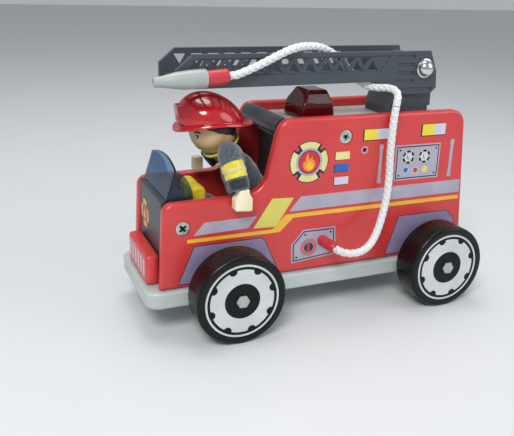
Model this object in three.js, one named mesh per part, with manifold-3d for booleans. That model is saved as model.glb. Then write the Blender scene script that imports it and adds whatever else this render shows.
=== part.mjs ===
// Toy fire engine with a swinging ladder, a rope hose and a seated firefighter.
// Millimetres, +Z up. +X is the front of the engine and +Y its left side.
// The origin lies on the ground under the middle of the base plate.
import * as THREE from "three";
import { mergeVertices } from "three/addons/utils/BufferGeometryUtils.js";
import Module from "manifold-3d";

const wasm = await Module();
wasm.setup();

// Driving dimensions
const gap = 0.3;                 // clearance between pieces that touch
const wheelRadius = 28;
const wheelWidth = 20;
const wheelOuterY = 58.7;        // outer face of a wheel
const frontAxleX = 62;
const rearAxleX = -84;
const axleRadius = 2;
const baseHalfLength = 113;
const baseHalfWidth = 36.5;
const baseBottom = 18.6;
const baseTop = 29.1;
const panelInner = 26.4;         // inner face of a side panel
const panelOuter = 33.4;
const bodyFloor = baseTop + gap;
const innerHalf = panelInner - gap;
const lowTop = 83.5;             // side panel height at the cab door
const tallTop = 128.5;           // side panel height behind the cab
const hoodRear = 84;
const hoodFront = 101.5;
const hoodTop = 82.5;
const deckTop = 122.5;
const deckThick = 12;
const backWallFront = 19;        // front face of the wall behind the seat
const roofBarX = 25.9;
const roofBarZ = 122;
const roofBarRadius = 6;
const turnX = -66;               // vertical axis of the turntable
const footRadius = 25.6;         // the turntable's round foot clears both side panels as it swings
const pivotX = -77.5;            // axis that the ladder tilts about
const pivotZ = 154.5;
const ladderOuter = 19.7;        // outer face of a ladder wall
const ladderWall = 3;
const ladderTop = 165.5;
const ladderFloor = 146.5;
const trussPitch = 11;
const trussCells = 11;
const ropeRadius = 2.1;
const headCentre = new THREE.Vector3(62.4, 3, 117.5);
const headRadius = 14.4;

const paint = {
  red: { color: 0xc4363a, roughness: 0.4, metalness: 0 },
  darkGrey: { color: 0x454b50, roughness: 0.5, metalness: 0 },
  paleGrey: { color: 0xbcc3c0, roughness: 0.5, metalness: 0 },
  black: { color: 0x17181a, roughness: 0.25, metalness: 0 },
  steel: { color: 0xb8bcbf, roughness: 0.3, metalness: 1 },
  chrome: { color: 0xe0e2e4, roughness: 0.08, metalness: 1 },
  clearBlue: { color: 0x3a6f96, roughness: 0.08, metalness: 0, transparent: true, opacity: 0.5 },
  clearRed: { color: 0x6d1016, roughness: 0.08, metalness: 0, transparent: true, opacity: 0.85 },
  beech: { color: 0xd8b483, roughness: 0.55, metalness: 0 },
  cream: { color: 0xe9dfbd, roughness: 0.6, metalness: 0 },
  felt: { color: 0x43484f, roughness: 0.95, metalness: 0 },
  yellow: { color: 0xd9c02c, roughness: 0.8, metalness: 0 },
  cotton: { color: 0xf0efea, roughness: 0.95, metalness: 0 },
  nozzleGrey: { color: 0xaab1ae, roughness: 0.4, metalness: 0 },
};

const engine = new THREE.Group();

function addPiece(name, shape, finish) {
  const geometry = shape.isBufferGeometry ? shape : toGeometry(shape);
  const mesh = new THREE.Mesh(geometry, new THREE.MeshStandardMaterial(paint[finish]));
  mesh.name = name;
  engine.add(mesh);
}

function toSolid(geometry) {
  const bare = geometry.clone();
  bare.deleteAttribute("normal");
  bare.deleteAttribute("uv");
  const merged = mergeVertices(bare, 1e-4);
  return new wasm.Manifold(new wasm.Mesh({
    numProp: 3,
    vertProperties: merged.attributes.position.array,
    triVerts: new Uint32Array(merged.index.array),
  }));
}

function toGeometry(solid) {
  const mesh = solid.getMesh();
  const geometry = new THREE.BufferGeometry();
  geometry.setAttribute("position", new THREE.BufferAttribute(mesh.vertProperties, 3));
  geometry.setIndex(new THREE.BufferAttribute(mesh.triVerts, 1));
  return geometry.toNonIndexed();
}

function cutAll(solid, cutters) {
  return cutters.reduce((left, cutter) => left.subtract(toSolid(cutter)), solid);
}

function joinAll(geometries) {
  return geometries.map(toSolid).reduce((all, next) => all.add(next));
}

// A shape drawn in X and Z, made solid from y = from to y = to.
function slabXZ(shape, from, to, round = 0) {
  const geometry = new THREE.ExtrudeGeometry(shape, {
    depth: to - from - 2 * round,
    curveSegments: 6,
    bevelEnabled: round > 0,
    bevelThickness: round,
    bevelSize: round,
    bevelOffset: -round,
    bevelSegments: 2,
  });
  return geometry.rotateX(Math.PI / 2).translate(0, to - round, 0);
}

// A shape drawn in X and Y, made solid from z = from to z = to.
function slabXY(shape, from, to, round = 0) {
  const geometry = new THREE.ExtrudeGeometry(shape, {
    depth: to - from - 2 * round,
    curveSegments: 4,
    bevelEnabled: round > 0,
    bevelThickness: round,
    bevelSize: round,
    bevelOffset: -round,
    bevelSegments: 1,
  });
  return geometry.translate(0, 0, from + round);
}

function polygon(points) {
  return new THREE.Shape(points.map(([x, y]) => new THREE.Vector2(x, y)));
}

function box(x0, x1, y0, y1, z0, z1) {
  const geometry = new THREE.BoxGeometry(x1 - x0, y1 - y0, z1 - z0);
  return geometry.translate((x0 + x1) / 2, (y0 + y1) / 2, (z0 + z1) / 2);
}

function roundedRectangle(x0, x1, y0, y1, radius) {
  const shape = new THREE.Shape();
  shape.moveTo(x0 + radius, y0);
  shape.lineTo(x1 - radius, y0);
  shape.absarc(x1 - radius, y0 + radius, radius, -Math.PI / 2, 0, false);
  shape.lineTo(x1, y1 - radius);
  shape.absarc(x1 - radius, y1 - radius, radius, 0, Math.PI / 2, false);
  shape.lineTo(x0 + radius, y1);
  shape.absarc(x0 + radius, y1 - radius, radius, Math.PI / 2, Math.PI, false);
  shape.lineTo(x0, y0 + radius);
  shape.absarc(x0 + radius, y0 + radius, radius, Math.PI, 1.5 * Math.PI, false);
  return shape;
}

// A cylinder along Y.
function rodY(x, z, y0, y1, radius, sides = 16) {
  return new THREE.CylinderGeometry(radius, radius, y1 - y0, sides).translate(x, (y0 + y1) / 2, z);
}

// A cylinder along Z.
function rodZ(x, y, z0, z1, radius, sides = 16) {
  const geometry = new THREE.CylinderGeometry(radius, radius, z1 - z0, sides);
  return geometry.rotateX(Math.PI / 2).translate(x, y, (z0 + z1) / 2);
}

// Turns a profile of [radius, height] pairs about the line from start towards end.
function turned(profile, start, end, sides = 20) {
  const points = profile.map(([radius, height]) => new THREE.Vector2(radius, height));
  const geometry = new THREE.LatheGeometry(points, sides);
  const along = end.clone().sub(start).normalize();
  const turn = new THREE.Quaternion().setFromUnitVectors(new THREE.Vector3(0, 1, 0), along);
  return geometry.applyQuaternion(turn).translate(start.x, start.y, start.z);
}

// A limb with round ends, from radius0 at start to radius1 at end.
function limb(start, end, radius0, radius1, sides = 12) {
  const length = start.distanceTo(end);
  const profile = [];
  const steps = 3;
  for (let i = 0; i <= steps; i++) {
    const angle = (-Math.PI / 2) * (1 - i / steps);
    profile.push([radius0 * Math.cos(angle), radius0 * Math.sin(angle)]);
  }
  for (let i = 0; i <= steps; i++) {
    const angle = (Math.PI / 2) * (i / steps);
    profile.push([radius1 * Math.cos(angle), length + radius1 * Math.sin(angle)]);
  }
  profile[0][0] = 0;
  profile[profile.length - 1][0] = 0;
  return turned(profile, start, end, sides);
}

function tube(points, radius, sides, steps) {
  const path = new THREE.CatmullRomCurve3(points.map((p) => new THREE.Vector3(...p)));
  const section = new THREE.Shape();
  for (let i = 0; i < sides; i++) {
    const angle = (2 * Math.PI * i) / sides;
    const [x, y] = [radius * Math.cos(angle), radius * Math.sin(angle)];
    if (i === 0) section.moveTo(x, y);
    else section.lineTo(x, y);
  }
  section.closePath();
  return new THREE.ExtrudeGeometry(section, { steps, extrudePath: path, bevelEnabled: false });
}

const v = (x, y, z) => new THREE.Vector3(x, y, z);
const sides = [["left", 1], ["right", -1]];
const axles = [["front", frontAxleX], ["rear", rearAxleX]];

// Screws through the side panels: [name, x, z]
const sideScrews = [["front", 90.5, 67.2], ["rear", -14.5, 115.4]];
const screwHead = 4.2;
const screwShank = 1.7;
// Screws up through the base plate: [name, x]
const baseScrews = [["front", 36], ["rear", -58]];
const baseScrewHead = 3.4;
const baseScrewShank = 1.4;

function axleGrooves() {
  return axles.map(([, x]) => rodY(x, wheelRadius, -40, 40, axleRadius + gap, 12));
}

function basePlate() {
  const plan = roundedRectangle(-baseHalfLength, baseHalfLength, -baseHalfWidth, baseHalfWidth, 9);
  const cutters = axleGrooves();
  for (const [, side] of sides) {
    for (const [, x] of baseScrews) {
      const y = side * (panelInner + panelOuter) / 2;
      cutters.push(rodZ(x, y, baseBottom - 1, baseBottom + 2.4, baseScrewHead + gap, 10));
      cutters.push(rodZ(x, y, baseBottom, baseTop + 1, baseScrewShank + gap, 8));
    }
  }
  addPiece("base_plate", cutAll(toSolid(slabXY(plan, baseBottom, baseTop, 1.4)), cutters), "paleGrey");
}

// Side panel outline in X and Z: low at the door, a swoop up behind the cab, tall to the back.
function panelOutline() {
  const shape = new THREE.Shape();
  shape.moveTo(-113.4, bodyFloor);
  shape.lineTo(104.4, bodyFloor);
  shape.lineTo(102.2, lowTop - 7);
  shape.quadraticCurveTo(102, lowTop - 1, 96, lowTop - 0.7);
  shape.lineTo(54, lowTop);
  shape.bezierCurveTo(46, lowTop + 0.3, 38.4, 88, 37.2, 97);
  shape.lineTo(32.4, 118);
  shape.bezierCurveTo(30.4, 126, 28, tallTop, 21, tallTop);
  shape.lineTo(-94, tallTop);
  shape.quadraticCurveTo(-104, tallTop, -105.2, tallTop - 10);
  shape.closePath();
  return shape;
}

function sidePanels() {
  for (const [name, side] of sides) {
    const inner = side > 0 ? panelInner : -panelOuter;
    const outer = side > 0 ? panelOuter : -panelInner;
    const cutters = axleGrooves();
    for (const [, x, z] of sideScrews) {
      const ends = [side * (panelOuter - 1.9), side * (panelOuter + 2)].sort((a, b) => a - b);
      cutters.push(rodY(x, z, ends[0], ends[1], screwHead + gap, 16));
      cutters.push(rodY(x, z, side * 30 - 8, side * 30 + 8, screwShank + gap, 8));
    }
    for (const [, x] of baseScrews) {
      const y = side * (panelInner + panelOuter) / 2;
      cutters.push(rodZ(x, y, bodyFloor - 1, bodyFloor + 9, baseScrewShank + gap, 8));
    }
    if (side > 0) {
      cutters.push(rodY(plugX, plugZ, panelInner - 1, panelOuter + 1, plugRadius + gap, 14));
    }
    const panel = toSolid(slabXZ(panelOutline(), inner, outer, 1.3));
    addPiece(name + "_side_panel", cutAll(panel, cutters), "red");
  }
}

function screws() {
  for (const [sideName, side] of sides) {
    for (const [name, x, z] of sideScrews) {
      const profile = [
        [0, 0], [screwShank, 0], [screwShank, 14], [screwHead, 14], [screwHead, 15], [2.6, 15.6], [0, 15.8],
      ];
      const start = v(x, side * (panelOuter - 15.6), z);
      addPiece(`${sideName}_${name}_panel_screw`, turned(profile, start, v(x, side * 100, z), 12), "steel");
    }
    for (const [name, x] of baseScrews) {
      const y = side * (panelInner + panelOuter) / 2;
      const profile = [
        [0, 0], [baseScrewHead, 0], [baseScrewHead, 1.6], [baseScrewShank, 2.2],
        [baseScrewShank, 16], [0, 18],
      ];
      const screw = turned(profile, v(x, y, baseBottom + 0.3), v(x, y, 100), 8);
      addPiece(`${sideName}_${name}_base_screw`, screw, "steel");
    }
  }
}

// Hood block behind the bumper, with shallow pockets for the windscreen's side wings.
function hoodBlock() {
  const outline = roundedRectangle(hoodRear, hoodFront, bodyFloor, hoodTop, 1.5);
  const body = toSolid(slabXZ(outline, -innerHalf, innerHalf));
  const cutters = [
    box(hoodRear - 1, 99.4, innerHalf - 1.5, innerHalf + 1, 71.7, hoodTop + 1),
    box(hoodRear - 1, 99.4, -innerHalf - 1, 1.5 - innerHalf, 71.7, hoodTop + 1),
  ];
  for (const [, side] of sides) {
    const ends = [side * 16.6, side * (innerHalf + 1)].sort((a, b) => a - b);
    cutters.push(rodY(sideScrews[0][1], sideScrews[0][2], ends[0], ends[1], screwShank + gap, 8));
  }
  addPiece("hood_block", cutAll(body, cutters), "darkGrey");
}

function bumper() {
  const face = roundedRectangle(hoodFront + gap, 110.4, -23.4, 23.4, 3);
  addPiece("bumper", slabXY(face, bodyFloor, 47.8, 1.2), "red");
}

// Windscreen: a leaning front sheet with an arched top edge and two side wings.
const screenFoot = 98.4;
const screenLean = -0.3;         // backward shift per millimetre of height
const screenThick = 1.2;
const screenHalf = innerHalf - 0.1;

function windscreen() {
  const height = 17.5;
  const front = new THREE.Shape();
  front.moveTo(-screenHalf, 0);
  front.lineTo(screenHalf, 0);
  front.lineTo(screenHalf, height);
  front.quadraticCurveTo(0, height + 7.5, -screenHalf, height);
  const sheet = new THREE.ExtrudeGeometry(
    front, { depth: screenThick, curveSegments: 10, bevelEnabled: false },
  );
  // The sheet is drawn in Y and Z, then leaned back.
  sheet.applyMatrix4(new THREE.Matrix4().set(
    0, screenLean, 1, screenFoot - screenThick,
    1, 0, 0, 0,
    0, 1, 0, hoodTop + gap,
    0, 0, 0, 1,
  ));
  const wing = new THREE.Shape();
  wing.moveTo(screenFoot - screenThick, 72);
  wing.lineTo(screenFoot, 72);
  wing.lineTo(screenFoot, hoodTop + gap);
  wing.lineTo(screenFoot + screenLean * height, hoodTop + gap + height);
  wing.bezierCurveTo(88, 99.5, 83, 93, 82, 83);
  wing.lineTo(82, 72);
  const wings = sides.map(([, side]) => {
    const edges = [side * (screenHalf - screenThick), side * screenHalf];
    const [a, b] = edges.sort((first, second) => first - second);
    return slabXZ(wing, a, b);
  });
  addPiece("windscreen", joinAll([sheet, ...wings]), "clearBlue");
}

function cabAndRoof() {
  addPiece("cab_seat", box(24, 51, -innerHalf, innerHalf, bodyFloor, 53.4), "darkGrey");
  const wallTop = deckTop - deckThick - gap;
  const wall = box(backWallFront - 6, backWallFront, -innerHalf, innerHalf, bodyFloor, wallTop);
  addPiece("cab_back_wall", wall, "darkGrey");
  addPiece("roof_bar", rodY(roofBarX, roofBarZ, -innerHalf, innerHalf, roofBarRadius, 24), "darkGrey");
  const cutters = [rodZ(turnX, 0, deckTop - deckThick - 1, deckTop + 1, 6.3, 24)];
  for (const [, side] of sides) {
    const ends = [side * 16.6, side * (innerHalf + 1)].sort((a, b) => a - b);
    cutters.push(rodY(sideScrews[1][1], sideScrews[1][2], ends[0], ends[1], screwShank + gap, 8));
  }
  const deckFront = roofBarX - roofBarRadius - gap;
  const deck = toSolid(box(-103, deckFront, -innerHalf, innerHalf, deckTop - deckThick, deckTop));
  addPiece("roof_deck", cutAll(deck, cutters), "paleGrey");
  addPiece("rear_panel", box(-103, -97, -innerHalf, innerHalf, bodyFloor, wallTop), "red");
  for (const [name, x] of axles) {
    const block = toSolid(box(x - 9, x + 9, -innerHalf, innerHalf, bodyFloor, 41));
    addPiece(name + "_axle_block", cutAll(block, axleGrooves()), "beech");
  }
}

// Warning light: a block whose upper half slopes in to a smaller top.
function beacon() {
  const lens = new THREE.Shape();
  lens.moveTo(-16.6, 0);
  lens.lineTo(7, 0);
  lens.lineTo(6, 9.5);
  lens.lineTo(1, 18.2);
  lens.lineTo(-12.6, 18.2);
  lens.lineTo(-15.6, 9.5);
  const along = toSolid(slabXZ(lens, -13.6, 13.6)).translate([0, 0, deckTop + gap]);
  const across = new THREE.ExtrudeGeometry(
    polygon([[-13.6, 0], [13.6, 0], [13.2, 9.5], [9, 18.2], [-9, 18.2], [-13.2, 9.5]]),
    { depth: 30, bevelEnabled: false },
  );
  across.applyMatrix4(new THREE.Matrix4().set(
    0, 0, 1, -20,
    1, 0, 0, 0,
    0, 1, 0, deckTop + gap,
    0, 0, 0, 1,
  ));
  addPiece("beacon_lens", along.intersect(toSolid(across)), "clearRed");
}

function wheels() {
  const innerY = wheelOuterY - wheelWidth;
  const bore = axleRadius + gap;
  const profile = [
    [bore, 0], [wheelRadius - 2.6, 0], [wheelRadius, 2.6], [wheelRadius, wheelWidth - 2.6],
    [wheelRadius - 2.6, wheelWidth], [0.83 * wheelRadius, wheelWidth],
    [0.81 * wheelRadius, wheelWidth - 0.5], [bore, wheelWidth - 0.5], [bore, 0],
  ];
  const hub = [[0, 0], [4.2, 0], [4.2, 1.2], [3.6, 1.8], [0, 1.8]];
  for (const [axle, x] of axles) {
    const rod = rodY(x, wheelRadius, -wheelOuterY + 1, wheelOuterY - 1, axleRadius, 12);
    addPiece(axle + "_axle", rod, "steel");
    for (const [name, side] of sides) {
      const outward = v(x, side * 200, wheelRadius);
      const wheel = turned(profile, v(x, side * innerY, wheelRadius), outward, 32);
      addPiece(`${axle}_${name}_wheel`, wheel, "black");
      const hubStart = v(x, side * (wheelOuterY - 0.5 + gap), wheelRadius);
      const nut = turned(hub, v(0, 0, 0), v(0, side, 0), 6).rotateY(Math.PI / 6);
      addPiece(`${axle}_${name}_hub_nut`, nut.translate(hubStart.x, hubStart.y, hubStart.z), "paleGrey");
    }
  }
}

// Turntable: a stepped column on the deck, with a spigot through it, a washer and a screw.
const yokeHalf = ladderOuter - ladderWall - 0.7;
const spigotRadius = 6;

function turntable() {
  const column = new THREE.Shape();
  column.moveTo(-57, deckTop + gap);
  column.lineTo(-57, 129);
  column.lineTo(-62, 143);
  column.lineTo(-67, 148);
  column.absarc(pivotX, pivotZ, 8.5, 0, Math.PI, false);
  column.lineTo(-88, 140);
  column.lineTo(-88.5, deckTop + gap);
  const foot = rodZ(turnX, 0, deckTop - deckThick - 1.6, deckTop + 1, spigotRadius, 24);
  const bolt = rodY(pivotX, pivotZ, -30, 30, 3 + gap, 16);
  const pilot = rodZ(turnX, 0, 100, 118, 1.5 + gap, 12);
  const footTop = tallTop + 0.5;
  const room = joinAll([
    box(-120, 0, -40, 40, footTop, 200),
    rodZ(turnX, 0, 100, footTop + 1, footRadius, 40),
  ]);
  const body = joinAll([slabXZ(column, -yokeHalf, yokeHalf, 0.8), foot]).intersect(room);
  addPiece("turntable_yoke", cutAll(body, [bolt, pilot]), "darkGrey");
  const washerTop = deckTop - deckThick - 1.6 - gap;
  const washer = toSolid(rodZ(turnX, 0, washerTop - 2, washerTop, 10, 24));
  addPiece("turntable_washer", washer.subtract(toSolid(rodZ(turnX, 0, 90, 120, 1.5 + gap, 12))), "steel");
  const screw = [[0, 0], [3.6, 0], [3.6, 2], [1.5, 2.2], [1.5, 10], [0, 11]];
  const screwFoot = v(turnX, 0, washerTop - 2 - gap - 2.2);
  addPiece("turntable_screw", turned(screw, screwFoot, v(turnX, 0, 200), 12), "steel");
}

// Ladder side wall outline in X and Z, with the ribbed cheek at the back.
function ladderOutline() {
  return polygon([
    [-82, ladderTop], [-87.6, 152], [-88.6, 141.5], [-84.6, 137.8], [-64.4, 137.8], [-54.5, 143],
    [-42, ladderFloor], [86.5, ladderFloor - 0.5], [90, 148.5], [90, 157], [80, ladderTop],
  ]);
}

// Zigzag windows between the rails: up and down triangles in turn.
function trussWindows(y0, y1) {
  const low = 154;
  const high = 162;
  const bar = 1.5;
  const start = -44;
  const windows = [];
  for (let i = 0; i < trussCells; i++) {
    const x = start + i * trussPitch;
    windows.push(polygon([[x + bar, low], [x + trussPitch - bar, low], [x + trussPitch / 2, high - bar]]));
    const middle = x + trussPitch;
    const reach = trussPitch / 2 - bar;
    windows.push(polygon([[middle - reach, high], [middle, low + bar], [middle + reach, high]]));
  }
  return windows.map((shape) => slabXZ(shape, y0, y1));
}

function ladderWallSolid(side) {
  const inner = ladderOuter - ladderWall;
  const [y0, y1] = side > 0 ? [inner, ladderOuter] : [-ladderOuter, -inner];
  const skin = side > 0 ? [ladderOuter - 0.8, ladderOuter + 1] : [-ladderOuter - 1, 0.8 - ladderOuter];
  const cutters = trussWindows(y0 - 1, y1 + 1);
  cutters.push(slabXZ(polygon([[-44.5, 153], [-52.5, 163], [76, 163], [84, 157], [84, 153]]), ...skin));
  for (let rib = 0; rib < 5; rib++) {
    const z = 141 + rib * 5.3;
    const front = -58 + 1.4 * Math.abs(rib - 2.4);
    const rear = z > pivotZ - 9 ? pivotX + 7.4 : -85;
    const groove = polygon([[rear, z - 1.1], [front, z - 1.1], [front, z + 1.1], [rear, z + 1.1]]);
    cutters.push(slabXZ(groove, ...skin));
  }
  cutters.push(rodY(pivotX, pivotZ, y0 - 1, y1 + 1, 3 + gap, 16));
  return cutAll(toSolid(slabXZ(ladderOutline(), y0, y1)), cutters);
}

function ladder() {
  const inner = ladderOuter - ladderWall + 0.5;
  let boom = ladderWallSolid(1).add(ladderWallSolid(-1));
  for (let i = 0; i < 9; i++) {
    boom = boom.add(toSolid(rodY(-16.5 + i * trussPitch, 149.4, -inner, inner, 1.5, 8)));
  }
  boom = boom.add(toSolid(box(84, 87.5, -inner, inner, 147, 151)));
  addPiece("ladder_boom", boom, "darkGrey");
  addPiece("ladder_pivot_bolt", rodY(pivotX, pivotZ, -ladderOuter + 0.2, ladderOuter - 0.2, 3, 16), "steel");
  const cap = [[0, 0], [6.2, 0], [6.2, 1.4], [5.6, 3], [4.2, 4.6], [2.2, 5.6], [0, 5.9]];
  for (const [name, side] of sides) {
    const start = v(pivotX, side * (ladderOuter + gap), pivotZ);
    addPiece(name + "_cap_nut", turned(cap, start, v(pivotX, side * 200, pivotZ), 16), "chrome");
  }
}

// Rope hose: from its red plug in the left side, up past the roof, into the ladder and out to the nozzle.
const plugX = -2;
const plugZ = 48.6;
const plugRadius = 3.6;
const plugEnd = v(-4.4, 47.4, 47.7);
const lowerRoute = [
  [-4.4, 47.7, 47.7], [-4.8, 50.2, 47.5], [-7.6, 53.4, 47], [-12.6, 54.8, 46.6], [-19.4, 54, 47],
  [-27, 51.2, 49.8], [-33.6, 47.6, 56.2], [-39.2, 44, 66.6], [-42.8, 41.4, 78], [-44.5, 39.4, 90],
  [-44.6, 38.4, 104], [-45, 37.8, 117], [-46.2, 36.6, 126.4], [-47, 35.9, 129.9], [-47.8, 35.2, 132.8],
];
const upperRoute = [
  [-47.9, 35.1, 133.1], [-48.8, 34.3, 136.1], [-50.6, 31.8, 139.8], [-50.6, 28.2, 142.2],
  [-47.8, 24, 143.2], [-43, 19.4, 142.9], [-37.6, 15.4, 143.8], [-31.6, 13.2, 147.6],
  [-26, 12.8, 153], [-19.6, 12.8, 159], [-12, 13.2, 164.4], [-2.6, 15, 168.1], [7, 17.6, 169.2],
  [16, 20.6, 168.8], [23.6, 22.6, 167], [32, 23, 163.4], [41, 23.2, 159.4], [50, 23.8, 156],
  [56, 24.5, 154.2], [60.6, 24.75, 153.8],
];
const collarEnd = v(74.2, 24.95, 152.6);

function hose() {
  const inside = rodY(plugX, plugZ, panelInner + 0.4, panelOuter + 0.6, plugRadius, 14);
  const reach = plugEnd.distanceTo(v(plugX, panelOuter, plugZ));
  const grip = turned(
    [[0, 0], [plugRadius, 0], [plugRadius, reach - 1.6], [plugRadius - 1, reach], [0, reach]],
    v(plugX, panelOuter, plugZ), plugEnd, 14,
  );
  const slot = box(-2, 3, 42.5, 47, plugZ + 1.6, plugZ + 8);
  addPiece("hose_plug", joinAll([inside, grip]).subtract(toSolid(slot)), "red");
  addPiece("hose_lower", tube(lowerRoute, ropeRadius, 8, 24), "cotton");
  addPiece("hose_upper", tube(upperRoute, ropeRadius, 8, 32), "cotton");
  const collarStart = v(60.95, 24.75, 153.75);
  const collarLength = collarStart.distanceTo(collarEnd);
  addPiece("nozzle_collar", turned(
    [[0, 0], [3.8, 0], [4.5, 0.8], [4.5, collarLength - gap], [0, collarLength - gap]],
    collarStart, collarEnd, 14,
  ), "red");
  const nozzleEnd = v(105, 26.1, 151.6);
  const nozzleStart = v(74.2, 25.6, 153);
  const length = nozzleStart.distanceTo(nozzleEnd);
  addPiece("nozzle", turned(
    [[0, 0], [5, 0], [5.4, 0.8], [5.4, 10], [4.6, 18], [3.2, 26], [2.7, length - 0.4], [2.4, length],
      [1.6, length], [1.6, length - 8], [0, length - 8]],
    nozzleStart, nozzleEnd, 14,
  ), "nozzleGrey");
}

// Firefighter seated in the cab, leaning forward a little.
const hip = v(31, 3, 62.8);
const chest = v(50, 3, 101);
const jacketWiden = 1.22;

function figure() {
  const headHollow = new THREE.SphereGeometry(headRadius + 3.1, 16, 12);
  headHollow.translate(headCentre.x, headCentre.y, headCentre.z);
  const torsoShape = turned(
    [[0, -4], [9, -4], [11.5, -1], [12.4, 6], [12.4, 18], [11.6, 30], [9.5, 38], [5, 44], [0, 46]],
    hip, chest, 16,
  );
  const widen = new THREE.Matrix4().makeTranslation(0, hip.y, 0)
    .multiply(new THREE.Matrix4().makeScale(1, jacketWiden, 1))
    .multiply(new THREE.Matrix4().makeTranslation(0, -hip.y, 0));
  torsoShape.applyMatrix4(widen);
  addPiece("figure_torso", toSolid(torsoShape).subtract(toSolid(headHollow)), "felt");

  const collar = [];
  const [from, to] = [0.48, 0.86];
  for (let i = 0; i <= 2; i++) {
    const angle = from + ((to - from) * i) / 2;
    collar.push([(headRadius + 2.7) * Math.sin(angle), (headRadius + 2.7) * Math.cos(angle)]);
  }
  for (let i = 2; i >= 0; i--) {
    const angle = from + ((to - from) * i) / 2;
    collar.push([(headRadius + 0.5) * Math.sin(angle), (headRadius + 0.5) * Math.cos(angle)]);
  }
  collar.push(collar[0]);
  collar.reverse();
  addPiece("figure_collar", turned(collar, headCentre, v(51, 3, 99), 16), "yellow");

  const head = new THREE.SphereGeometry(headRadius, 18, 12).scale(1, 0.96, 1);
  head.rotateX(Math.PI / 2).translate(headCentre.x, headCentre.y, headCentre.z);
  addPiece("figure_head", toSolid(head), "beech");
  addPiece("figure_helmet", helmet(), "red");
}

// Helmet: a hollow dome with a brim, a crest along the top and a raised badge at the front.
// The dome leans forward towards its top, and the brim arches up on both sides.
const brimZ = 119;
const brimHalfWidth = 20;
const brimArch = 3.6;
const domeX = 63;
const domeHeight = 20;
const domeLean = 5;
const domeStretch = 1.18;

function bendHelmet(point) {
  const height = point[2] - brimZ;
  const fade = Math.min(1, Math.max(0, 1.1 - height / domeHeight));
  point[0] += (domeLean * Math.max(0, height)) / domeHeight;
  point[2] += brimArch * fade * ((point[1] - headCentre.y) / brimHalfWidth) ** 2;
}

function helmet() {
  const dome = [[0, 21.5]];
  for (let i = 1; i <= 5; i++) {
    const angle = (Math.PI / 2) * (i / 5);
    dome.push([17.4 * Math.sin(angle), 1.5 + domeHeight * Math.cos(angle)]);
  }
  dome.push([17.4, 0], [15.4, 0]);
  for (let i = 4; i >= 1; i--) {
    const angle = (Math.PI / 2) * (i / 5);
    dome.push([15.4 * Math.sin(angle), 13 * Math.cos(angle)]);
  }
  dome.push([0, 13]);
  dome.reverse();
  const shell = new THREE.LatheGeometry(dome.map(([r, h]) => new THREE.Vector2(r, h)), 20);
  shell.rotateX(Math.PI / 2).scale(domeStretch, 1, 1).translate(domeX, headCentre.y, brimZ);
  const brimShape = new THREE.Shape();
  brimShape.absellipse(60.6, headCentre.y, 25.2, brimHalfWidth, 0, 2 * Math.PI, false, 0);
  const hole = new THREE.Path();
  hole.absellipse(domeX, headCentre.y, 18.6, 15.8, 0, 2 * Math.PI, true, 0);
  brimShape.holes.push(hole);
  const brim = new THREE.ExtrudeGeometry(
    brimShape, { depth: 1.8, curveSegments: 12, bevelEnabled: false },
  );
  brim.translate(0, 0, brimZ);
  const crestShape = new THREE.Shape();
  crestShape.absellipse(domeX, brimZ + 1.5, 20.9, 20.9, 0, Math.PI, false, 0);
  const crest = slabXZ(crestShape, headCentre.y - 1.6, headCentre.y + 1.6);
  const badge = box(78, 84.6, headCentre.y - 4, headCentre.y + 4, brimZ + 1, brimZ + 12.4);
  const inside = [[0, -3], [15.4, -3], [15.4, 0], [13.6, 7], [9.5, 12], [0, 14.2]];
  const hollow = new THREE.LatheGeometry(inside.map(([r, h]) => new THREE.Vector2(r, h)), 20);
  hollow.rotateX(Math.PI / 2).scale(domeStretch, 1, 1).translate(domeX, headCentre.y, brimZ);
  return joinAll([shell, brim, crest, badge]).subtract(toSolid(hollow)).warp(bendHelmet);
}

// Arms: a felt sleeve from the shoulder to the cuff and a wooden hand beyond it.
const arms = [
  {
    side: "left", shoulder: v(59.7, 24, 110.5), cuff: v(57.4, 35.6, 94),
    hand: v(56, 39, 83.7), handSize: [11, 7, 14],
  },
  {
    side: "right", shoulder: v(46, -17.5, 101), cuff: v(57.5, -18.4, 93.6),
    hand: v(65.2, -18.6, 91.5), handSize: [6.4, 6, 9],
  },
];

function roundedBlock(centre, x, y, z, round) {
  const plan = roundedRectangle(-x / 2, x / 2, -y / 2, y / 2, 2 * round);
  return slabXY(plan, -z / 2, z / 2, round).translate(centre.x, centre.y, centre.z);
}

function figureLimbs() {
  for (const { side, shoulder, cuff, hand, handSize } of arms) {
    const [x, y, z] = handSize;
    const pocket = new THREE.BoxGeometry(x + 2 * gap, y + 2 * gap, z + 2 * gap);
    pocket.translate(hand.x, hand.y, hand.z);
    const sleeve = toSolid(limb(shoulder, cuff, 6, 6.6)).subtract(toSolid(pocket));
    addPiece(`figure_${side}_sleeve`, sleeve, "felt");
    addPiece(`figure_${side}_hand`, roundedBlock(hand, x, y, z, 1), "cream");
  }
  for (const [side, sign] of sides) {
    const y = 3 + 7.4 * sign;
    addPiece(`figure_${side}_leg`, limb(v(54.6, y, 62.6), v(62.4, y, 68.4), 5.8, 5.2), "felt");
    addPiece(`figure_${side}_boot`, roundedBlock(v(75, y, 77.5), 9.5, 11.5, 18, 1.6), "yellow");
  }
}

basePlate();
sidePanels();
screws();
hoodBlock();
bumper();
windscreen();
cabAndRoof();
beacon();
wheels();
turntable();
ladder();
hose();
figure();
figureLimbs();

export default engine;
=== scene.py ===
import math
import bmesh
import bpy
import numpy as np
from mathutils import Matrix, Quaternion, Vector


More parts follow.
